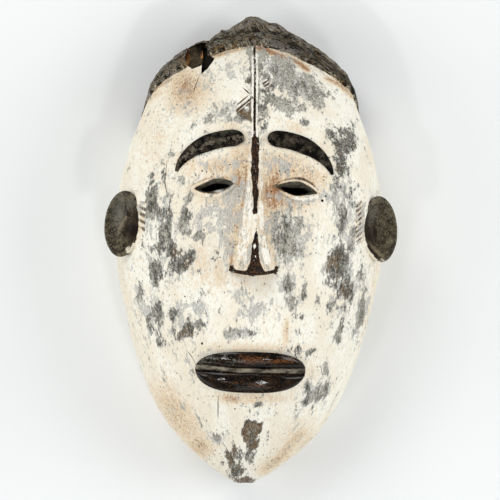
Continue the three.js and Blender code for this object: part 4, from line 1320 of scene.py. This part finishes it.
# Where smoke, oil and the wood's own colour have stained it tan, and the same on the ears. Along the feet
# of the nose and the right jaw the tan is painted shade.
STAINED = [
    (13.5, 33, 7, 14, 0, 0.75), (20, 20, 6, 10, 0, 0.45), (-13, 44, 5, 8, 0, 0.7),
    (-40, -8, 10, 16, 0, 0.4), (-50.4, 60.1, 7.6, 12.2, 40, 0.5), (-9.3, 73.8, 7.6, 10.6, 0, 0.65),
    (7.4, 75.6, 6.8, 10.6, 0, 0.4), (51.2, 73.3, 9.1, 15.2, -40, 0.4),
    (-17.5, 89.1, 10.6, 3.8, 0, 0.55), (32.3, 88.8, 13.7, 3.8, -10, 0.35),
    (4.8, 53.6, 4.6, 12.2, 0, 0.4), (-11.4, 64.2, 6.6, 11.2, 20, 0.85), (-41.4, 41.8, 9.9, 7.6, 0, 0.6),
    (-27.5, 34.8, 18.2, 5.3, 0, 0.55), (15, 52.5, 9, 8, -20, 1), (27, 56.5, 15, 6.5, -12, 1),
    (12.6, 44.5, 4, 4, 0, 0.8), (-17, 50.5, 7, 3, 10, 0.9), (38.5, 55.5, 12, 7, -30, 0.8),
    (49.1, 51.1, 7.6, 10.6, -30, 0.55), (31.5, 34.6, 18.2, 4.6, 0, 0.5),
    (-22.8, 55.2, 16.7, 4.6, 10, 0.5), (12.7, 21, 3.8, 30.4, 0, 0.6), (-10.4, 13.3, 5.3, 27.4, 0, 0.55),
    (-18.9, 5.9, 3.8, 19.8, 10, 0.6), (-25, -16.1, 3.8, 16.7, 12, 0.5), (21, 43, 6.1, 12.2, 0, 0.35),
    (2.6, 17.2, 2.3, 6.8, 0, 0.6), (-1.1, -72.5, 44.1, 3.8, 0, 0.55), (0.2, -109.5, 30.4, 4.6, 0, 0.6),
    (-41.2, -90.9, 5.3, 9.1, 0, 0.35), (44.2, -89.2, 6.1, 9.1, 0, 0.4),
    (-13.5, -110.5, 8, 3.2, -8, 1.2), (25.1, -60.5, 2, 9.5, 0, 1.05),
    (-77.2, 86.7, 12.2, 45.6, 15, 0.35), (-87.7, -55.6, 7.6, 53.2, 12, 0.18),
    (-52, -124, 13, 30, 38, 0.75), (-11, 8, 8, 34, 8, 0.8), (11, 14, 8, 36, -7, 0.75),
    (12, 40, 11, 17, 0, 1.15), (26, 35, 18, 9, 0, 0.85), (-14, 48, 9, 16, 0, 0.95),
    (-24, 60, 16, 7, 10, 0.8), (22, 62, 17, 9, -10, 1), (-50, 116, 17, 16, 30, 0.9),
    (-34, -148, 12, 9, -40, 0.75), (-42.2, -144.8, 16.7, 30.4, 40, 0.4),
    (39.9, -142.5, 18.2, 15.2, -40, 0.55), (29.2, -155, 10.6, 7.6, -40, 0.6),
    (92.4, -36.8, 4.6, 45.6, -10, 0.35), (94, 12, 7.5, 15, 0, 0.75), (-87, 14, 4.5, 10, 0, 0.8),
    (-74, 113.5, 9.1, 4.6, 35, 0.6), (-41.1, 137.8, 13.7, 3.8, 30, 0.5),
    (-64.5, 122.9, 10.6, 3, 40, 0.5), (-14.7, 147.6, 9.1, 2.3, 10, 0.6),
]


def distance_to(path):
    """How far each point is from a path of places, seen from the front."""
    nearest = np.full_like(px, 1e9)
    for (ax, ay), (bx, by) in zip(path, path[1:]):
        length = (bx - ax) ** 2 + (by - ay) ** 2
        t = clamp(((px - ax) * (bx - ax) + (py - ay) * (by - ay)) / length)
        nearest = np.minimum(nearest, np.hypot(px - ax - t * (bx - ax), py - ay - t * (by - ay)))
    return nearest


def lines(rows):
    """The strongest of some soft bands along paths: strength * exp(-0.7 * (distance / half) ** 2).

    A row is a path, the band's half width and its strength.
    """
    return np.maximum.reduce([
        strength * np.exp(-0.7 * (distance_to(path) / half) ** 2) for path, half, strength in rows
    ])


def wedge(corners, soft):
    """1 inside a shape with corners and 0 outside, eased over a soft width: from the nearest edge."""
    ring = corners + corners[:1]
    inside = np.zeros(len(px), bool)
    for (ax, ay), (bx, by) in zip(ring, ring[1:]):
        crosses = (ay > py) != (by > py)
        inside ^= crosses & (px < ax + (py - ay) / np.where(by == ay, 1e-9, by - ay) * (bx - ax))
    nearest = distance_to(ring)
    return smooth(np.where(inside, nearest, -nearest) / soft + 0.5)


# Two patches have lost their paint in one piece: beside the scores, and under the chin.
BROWN_WEDGE = [(-3.5, 110.8), (-15.3, 100.6), (-9.9, 96.2), (-2.4, 90.8), (-2.1, 110.8)]
CHIN_WEDGE = [
    (-3.9, -127.4), (10.3, -127.5), (9.4, -136), (5.8, -139.1), (8, -146.1), (2, -151.3),
    (-1.3, -145.4), (-5, -137.7),
]
WASHED_LINES = [
    # a painted shadow under the lower lid of the right eye
    ([(26.2, 35.5), (32.9, 34.3), (38.8, 35), (44.7, 36.9), (48.8, 39.4)], 1.2, 1),
    ([(-3.2, 3), (-4.4, -7), (-8.5, -14.5)], 1.3, 0.9),
    ([(3.8, 3), (5.2, -7), (10.5, -14.5)], 1.3, 0.9),
    ([(-4.7, 48), (-5.3, 40.8), (-5.8, 32.8)], 1.6, 0.95),
]
STAINED_LINES = [
    # under the edge of the hair
    ([(1.4, 149.9), (8.8, 147.1), (17.1, 143.7), (25.4, 141.8), (32.9, 138.3), (38.9, 133.9)], 2.3, 1.3),
    ([(-30.4, 141.9), (-19.1, 146.1), (-5.5, 149.5)], 1.6, 1),
    ([(-79.6, 113.5), (-71.8, 119.6), (-62.3, 124.7)], 1.8, 0.95),
    ([(53.5, 127.8), (63.8, 124.1), (73.8, 116)], 2, 0.9),
    # round the eyes
    (OPENINGS["left"] + OPENINGS["left"][:1], 1.1, 0.95),
    (OPENINGS["right"] + OPENINGS["right"][:1], 1.1, 0.85),
    ([(-41.5, 46.9), (-37.9, 48.8), (-34, 50.4), (-30.7, 51.8)], 0.7, 0.9),
    ([(20.1, 50.2), (22.2, 51.8), (27.7, 52.9), (35.1, 52.1), (39.6, 50.1), (44.5, 46.9)], 0.9, 1.2),
    # down both sides of the nose, at its feet: painted shade
    ([(-6.8, 60), (-7.8, 40), (-10.6, 24.5), (-14.6, 4), (-16.2, -11.3)], 1.7, 0.95),
    ([(6.4, 70), (7, 55.5), (8.6, 24.8), (11.4, 4.5), (16.4, -10.7)], 1.7, 0.7),
    # along the right jaw, where the face turns under: painted shade
    ([(39.5, -138.4), (32.3, -146.8), (26, -155.6), (14.3, -165)], 5.5, 0.85),
]
bared_and_rib_shadow = spots([row[:6] for row in BARED])
weight = np.full_like(px, 1e-6)
brown_sum = np.zeros_like(px)
for row in BARED:
    one = spots([row[:6]])
    weight += one
    brown_sum += one * row[6]
welt_stain, welt_wash = np.zeros_like(px), np.zeros_like(px)
for x, top, bottom, half, pitch, slant in TWISTED_WELTS:
    on_welt = (np.abs(px - x) < half + 0.3) & (py < top) & (py > bottom)
    nicked = on_welt * nick_depth(px, py, pitch, slant)
    bared_and_rib_shadow = np.where(on_welt, 1.25 * nicked * smooth((px - x) / half * -np.sign(x) + 0.6), bared_and_rib_shadow)
    brown_sum = np.where(on_welt, 0.9 * weight, brown_sum)
    welt_stain = np.maximum(welt_stain, on_welt * mix(0.3 if x > 0 else 0.2, 0.8, nicked))
    welt_wash = np.maximum(welt_wash, on_welt * (0.55 if x > 0 else 0.4))
# Thin darker lines along both feet of the rib are painted shadow, laid in with the flaked paint.
rib_shadow_span = (py > 92) & (py < RIB_TOP)
bared_and_rib_shadow = np.maximum(bared_and_rib_shadow, rib_shadow_span * 0.62 * np.exp(-(((np.abs(px - RIB_CENTRE) - 2.8) / 0.6) ** 2)))
wedges = np.maximum(wedge(BROWN_WEDGE, 1.2), wedge(CHIN_WEDGE, 1.6))
on_rim = pz < 0.5
mark("bared_and_rib_shadow", np.maximum.reduce([
    np.minimum(bared_and_rib_shadow, 0.82) - 0.12 * smooth(1 - bared_and_rib_shadow / 0.45), 1.25 * wedges - 0.12, 2.0 * on_rim - 1,
]))
mark("browned", clamp(np.maximum.reduce([
    brown_sum / weight, 0.85 * wedge(BROWN_WEDGE, 2), 0.8 * wedge(CHIN_WEDGE, 2), 0.85 * on_rim,
])))
wash_light_and_shade = np.maximum.reduce([spots(WASHED), welt_wash, lines(WASHED_LINES)])
mark("wash_light_and_shade", wash_light_and_shade - 0.1 * smooth(1 - wash_light_and_shade / 0.4))
mark("stain_and_shade", np.maximum.reduce([spots(STAINED), welt_stain, lines(STAINED_LINES)]))

# The dark strip down the nose: one width to the middle of the nose, then broken, then a triangle
# that widens into the dark line of the base, whose ends turn up. Each row is a height on the face,
# then the strip's half width, the strip's middle, or the triangle's two edges there.
STRIP_TOP, STRIP_FOOT, TRIANGLE_TOP = 84.6, 24.2, 14.5
STRIP_HALF = [(24, 1.6), (32, 1.7), (42, 2.1), (56, 2.8), (70, 2.8), (80, 2.7), (84, 2)]
STRIP_MIDDLE = [(24, -0.2), (40, 0), (56, -0.6), (79, -0.3)]
TRIANGLE = [
    (-19, -9.5, 10.5), (-17, -7.2, 8.6), (-15, -5.2, 6.6), (-11, -3.6, 4.6), (-4.6, -2.6, 3),
    (3.8, -2, 2.8), (10, -0.4, 2), (13.2, 0.6, 1.2),
]
strip_half = np.interp(py, *np.array(STRIP_HALF).T) + 0.4 * drifting(py / 3, py * 0, 81)
strip_middle = np.interp(py, *np.array(STRIP_MIDDLE).T) + 0.3 * drifting(py / 5, py * 0, 82)
strip = smooth((strip_half - np.abs(px - strip_middle)) / 0.9 + 0.5)
strip = strip * smooth((STRIP_TOP - py) / 1.6) * smooth((py - STRIP_FOOT) / 1.2)
heights, left_edges, right_edges = np.array(TRIANGLE).T
from_left = px - np.interp(py, heights, left_edges)
from_right = np.interp(py, heights, right_edges) - px
lower = smooth(np.minimum(from_left, from_right) + 0.5) * smooth((TRIANGLE_TOP - py) / 2)
base_y = NOSE_TIP + NOSE_WING * (px / NOSE_BASE_HALF) ** 2
over_face = pz - surface_z(px, py)
on_nose = (py > base_y - 1) & (py < 0) & (over_face > 0.1) & (np.abs(px) < NOSE_BASE_HALF + 0.6)
base_line = smooth((2.2 - (py - base_y)) / 0.7 + 0.5) * on_nose
hook = ((np.abs(px - 0.4) - 16.2) / 2.1) ** 2 + ((py + 14.6) / 2.6) ** 2
hooks = np.exp(-(hook**1.5)) * (py > base_y - 1)

# White chalk is left on the rib beside its score, on the worn ridges of the nose and in two spots on the
# nose.
# A white spot on the lower bevel of the left slit is a painted highlight, and a pale band along the right
# lower lid is painted light on its ridge.
rib_side = np.abs(px - RIB_CENTRE - 0.2 * drifting((RIB_TOP - py) / (RIB_TOP - RIB_BOTTOM) * 7, py * 0, 23))
on_rib = (py > RIB_BOTTOM - 1) & (py < RIB_TOP + 1)
LEFT_RIDGE = [
    (-4.6, 74), (-5.4, 55.3), (-8.6, 24.5), (-12, 4), (-12.6, -12), (-6.4, -12), (-3.6, 4.2),
    (-2.4, 24.6), (-3.8, 55.4),
]
RIGHT_RIDGE = [
    (3, 74), (3, 55.5), (2.4, 24.7), (3.6, 4.3), (7.2, -11.5), (13.8, -11.5), (8.8, 4.5),
    (6.4, 24.8), (5.2, 55.5),
]
# The first spot is the painted highlight in the left eye; the other two are chalk on the nose.
chalk_and_glint_spots = spots([
    (-26.3, 41.4, 2.3, 0.9, 8, 1.4), (-0.2, 2.2, 0.9, 1.6, 0, 1), (0.6, -5.5, 0.6, 1, 0, 0.8),
])
# Painted light along the ridge of the right lower lid.
lower_lid_light = lines([([(27.6, 37.3), (35, 36.7), (41.7, 37.7), (46.9, 40)], 0.9, 0.85)])
rib_chalk = on_rib * np.exp(-(((rib_side - 1.75) / 0.6) ** 2)) * mix(1, 0.6, smooth((py - 138) / 8))
rib_chalk = rib_chalk * (0.85 + 0.4 * drifting(py / 4, np.sign(px - RIB_CENTRE), 83))
ridge_chalk = np.maximum(0.52 * wedge(LEFT_RIDGE, 2.4), 0.56 * wedge(RIGHT_RIDGE, 2.0))
mark("chalk_and_light", np.maximum.reduce([rib_chalk, chalk_and_glint_spots, lower_lid_light, ridge_chalk]))
scored = on_rib * smooth((0.85 - rib_side) / 0.6 + 0.5) * mix(0.95, 0.62, smooth((py - 104) / 25))
mark("blackened", np.maximum.reduce([strip, lower * (py > base_y - 0.5), base_line, hooks, scored]))

# Light dust lies on the lower edges of the ears and on the lips, and in a few spots on the hair. The outer
# edge of the hair and the middle of the brows, more on the left, are lightened: painted light.
edge_distance = ring_radius(np.arctan2(px, py - CENTRE_Y), np.ones_like(px)) - np.hypot(px, py - CENTRE_Y)
LEFT_EAR_COVERED = [(-83, 8), (-88.4, 1.9), (-90.5, -4.5), (-82.6, -7.3), (-78.4, 4.7)]
RIGHT_EAR_COVERED = [
    (81.1, 11), (84, 5.5), (88.8, -1.1), (94.8, -6.9), (98.6, -9.8), (86.8, -11.1), (79.1, 0.6),
]
ear_dust = np.maximum.reduce([
    spots([(-90.9, -2.6, 2.6, 2.2, 0, 0.9), (97.8, -6.8, 2.0, 1.6, 0, 0.8)]),
    1.1 * wedge(LEFT_EAR_COVERED, 1.0), 1.1 * wedge(RIGHT_EAR_COVERED, 1.0),
])
lip_dust = spots([(-24, -79, 12, 4, 0, 0.34), (-35, -83, 5, 5, 0, 0.36), (-14, -82, 9, 3, 0, 0.26)])
hair_edge_light_and_dust = 0.42 * smooth((7 - edge_distance) / 9) * smooth((pz - 20) / 15) * (py > 60)
hair_edge_light_and_dust = hair_edge_light_and_dust + spots([
    (6, 160, 14, 4, 0, 0.4), (-68, 118, 14, 4, 42, 0.5), (20, 150, 22, 5, -22, 0.62),
    (-60, 128, 10, 4, 45, 0.5),
])
on_arc = np.hypot((np.abs(px) - BROW_X) / BROW_ACROSS, (py - BROW_Y) / BROW_UP)
brow_light = np.where(px < 0, 0.54, 0.14) * np.exp(-(((on_arc - 1) / 0.09) ** 2)) * smooth((py - 52) / 14)
dust = np.maximum.reduce([ear_dust, lip_dust, hair_edge_light_and_dust, brow_light])
mark("dust_and_painted_light", dust - 0.05 - 1.0 * (dust < 0.05))

# Rust-brown and fresh wood: on the lips, along the walls of the break, and on the lower edges of the eyes.
# In the cups of the ears the same mark lightens the fold ridges: a painted highlight.
RUST_SPOTS = [
    (0, -80.5, 9, 3, 0, 0.95), (-8, -80, 5, 2, 0, 0.7), (24, -81, 9, 2, 0, 0.5), (2, -99, 14, 2.5, 0, 0.45),
]
RUST_LINES = [
    # the fold ridges in the ears: painted highlights
    ([(-92.9, 21.9), (-96.1, 16.6), (-99, 11.7)], 0.9, 0.9),
    ([(86.4, 7), (92.4, 1.2), (98.9, -4.9)], 1.7, 0.85),
    ([(-50.5, 136.4), (-51.9, 141.3), (-49.5, 148.9), (-46, 150)], 0.9, 1),
    ([(-41, 150.5), (-39.6, 146), (-38.6, 142)], 1.2, 0.95),
    ([(-46, 150), (-37, 151.2)], 0.6, 0.7),
    ([(17.3, 44.8), (23.2, 41.6), (30.6, 39.4)], 1.2, 0.8),
    ([(-35.5, 39.7), (-28.3, 39.6), (-21.8, 41.4)], 1, 0.7),
]
rust = np.maximum(spots(RUST_SPOTS), lines(RUST_LINES))
mark("rust_and_fold_light", rust - 0.6 * (rust < 0.1))
seam_edge = 1.5 + 0.4 * (np.abs(px) / MOUTH_HALF) ** 3
mark("seam", smooth((seam_edge - np.abs(py - seam_y(px))) / 0.8 + 0.5))

# Painted shade: how much darker a place is for lying deep, down the slits, in the cups of the ears, in the
# break, and up in the hollow, where the same depths are darkened less.
below_face = surface_z(px, py) - pz
slit_shade = smooth((below_face - 4.5) / 3)
ear_shade = np.maximum.reduce([
    spots([(-87.2, 11.5, 6.5, 7.0, 0, 1.15), (-85.0, 21.0, 3.5, 8.0, 0, 0.9),
           (87.8, 11.2, 7.0, 7.0, 0, 0.95), (84.6, 21.5, 3.0, 12.0, 0, 0.75)]),
    lines([
        ([(-102.8, -2.9), (-97.6, -4.6), (-92.8, -1.9), (-89.5, -0.7)], 0.8, 1),
        ([(83.8, 7.4), (89.1, 0.4), (94.8, -5.4), (99.3, -6.1)], 1.3, 1.1),
    ]),
])
inside = smooth((below_face - 8) / 14)
break_shade = 0.9 * smooth((below_face - 6) / 2.5) * (np.hypot(px + 37, py - 141) < 14)
by_an_eye = (np.abs(py - EYE_Y) < 14) & (np.abs(px) < 52)
cut_shade = np.where(by_an_eye, slit_shade, np.maximum(ear_shade, break_shade))
from_centre = np.hypot(px, py - CENTRE_Y) / hollow_radius(np.arctan2(px, py - CENTRE_Y))
in_hollow = pz < hollow_z(np.minimum(from_centre, 1)) + 0.5
mark("deep_shade", np.maximum(np.where(in_hollow, 0, cut_shade), 0.55 * inside))

# Along the edge of the hair some paint laps over it. A near-black line in the groove between the tiers is
# painted shade, and the front roll right of the crest is darkened by half. The strands' noise is read at
# places combed the way that they run.
phi = np.arctan2(px, py - CENTRE_Y)
widest = np.radians(HAIR_END) - 0.005
edge = head_point(hairline(clamp(phi, -widest, widest)), phi)
from_edge = np.hypot(np.hypot(px - edge[:, 0], py - edge[:, 1]), pz - edge[:, 2])
mark("lapped", 0.62 * np.exp(-((from_edge / 2.2) ** 2)) - 0.3)
band = ROLL_WIDTH * mix(1, 0.5, (np.degrees(np.abs(phi)) / HAIR_END) ** 2)
front_roll = smooth((px - 5) / 10) * smooth((from_edge - 1) / 2) * smooth((1.05 * band - from_edge) / 3)
parting = np.exp(-(((from_edge - band) / 1.9) ** 2)) * (np.abs(px) < 60)
mark("parting_shade_and_dark_roll", np.maximum(parting, 0.5 * front_roll))
slanted = smooth((px + 4) / 22)
lengthwise = mix(from_edge, phi * HAIR_REACH, slanted)
crosswise = mix(phi * HAIR_REACH + 0.55 * from_edge, from_edge + 0.12 * phi * HAIR_REACH, slanted)
mark_place("combed", crosswise, lengthwise, pz)

# The paint wears in streaks that run down the face and bend in with its outline. These are places
# squeezed along the streaks, so that a noise read from them is drawn out the same way.
half_width = np.interp(-py, *(np.array(OUTLINE) * [1, -1])[:, ::-1].T)
across_face = px * 100 / (30 + 0.7 * np.maximum(half_width, 35))
down_face = 0.48 * py + 0.3 * np.maximum(py - 60, 0)
mark_place("drawn", across_face, down_face, 0.6 * pz)

mask = bpy.data.objects.new("carved_mask", carving)
bpy.context.scene.collection.objects.link(mask)
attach(mask, "root")
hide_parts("mask")
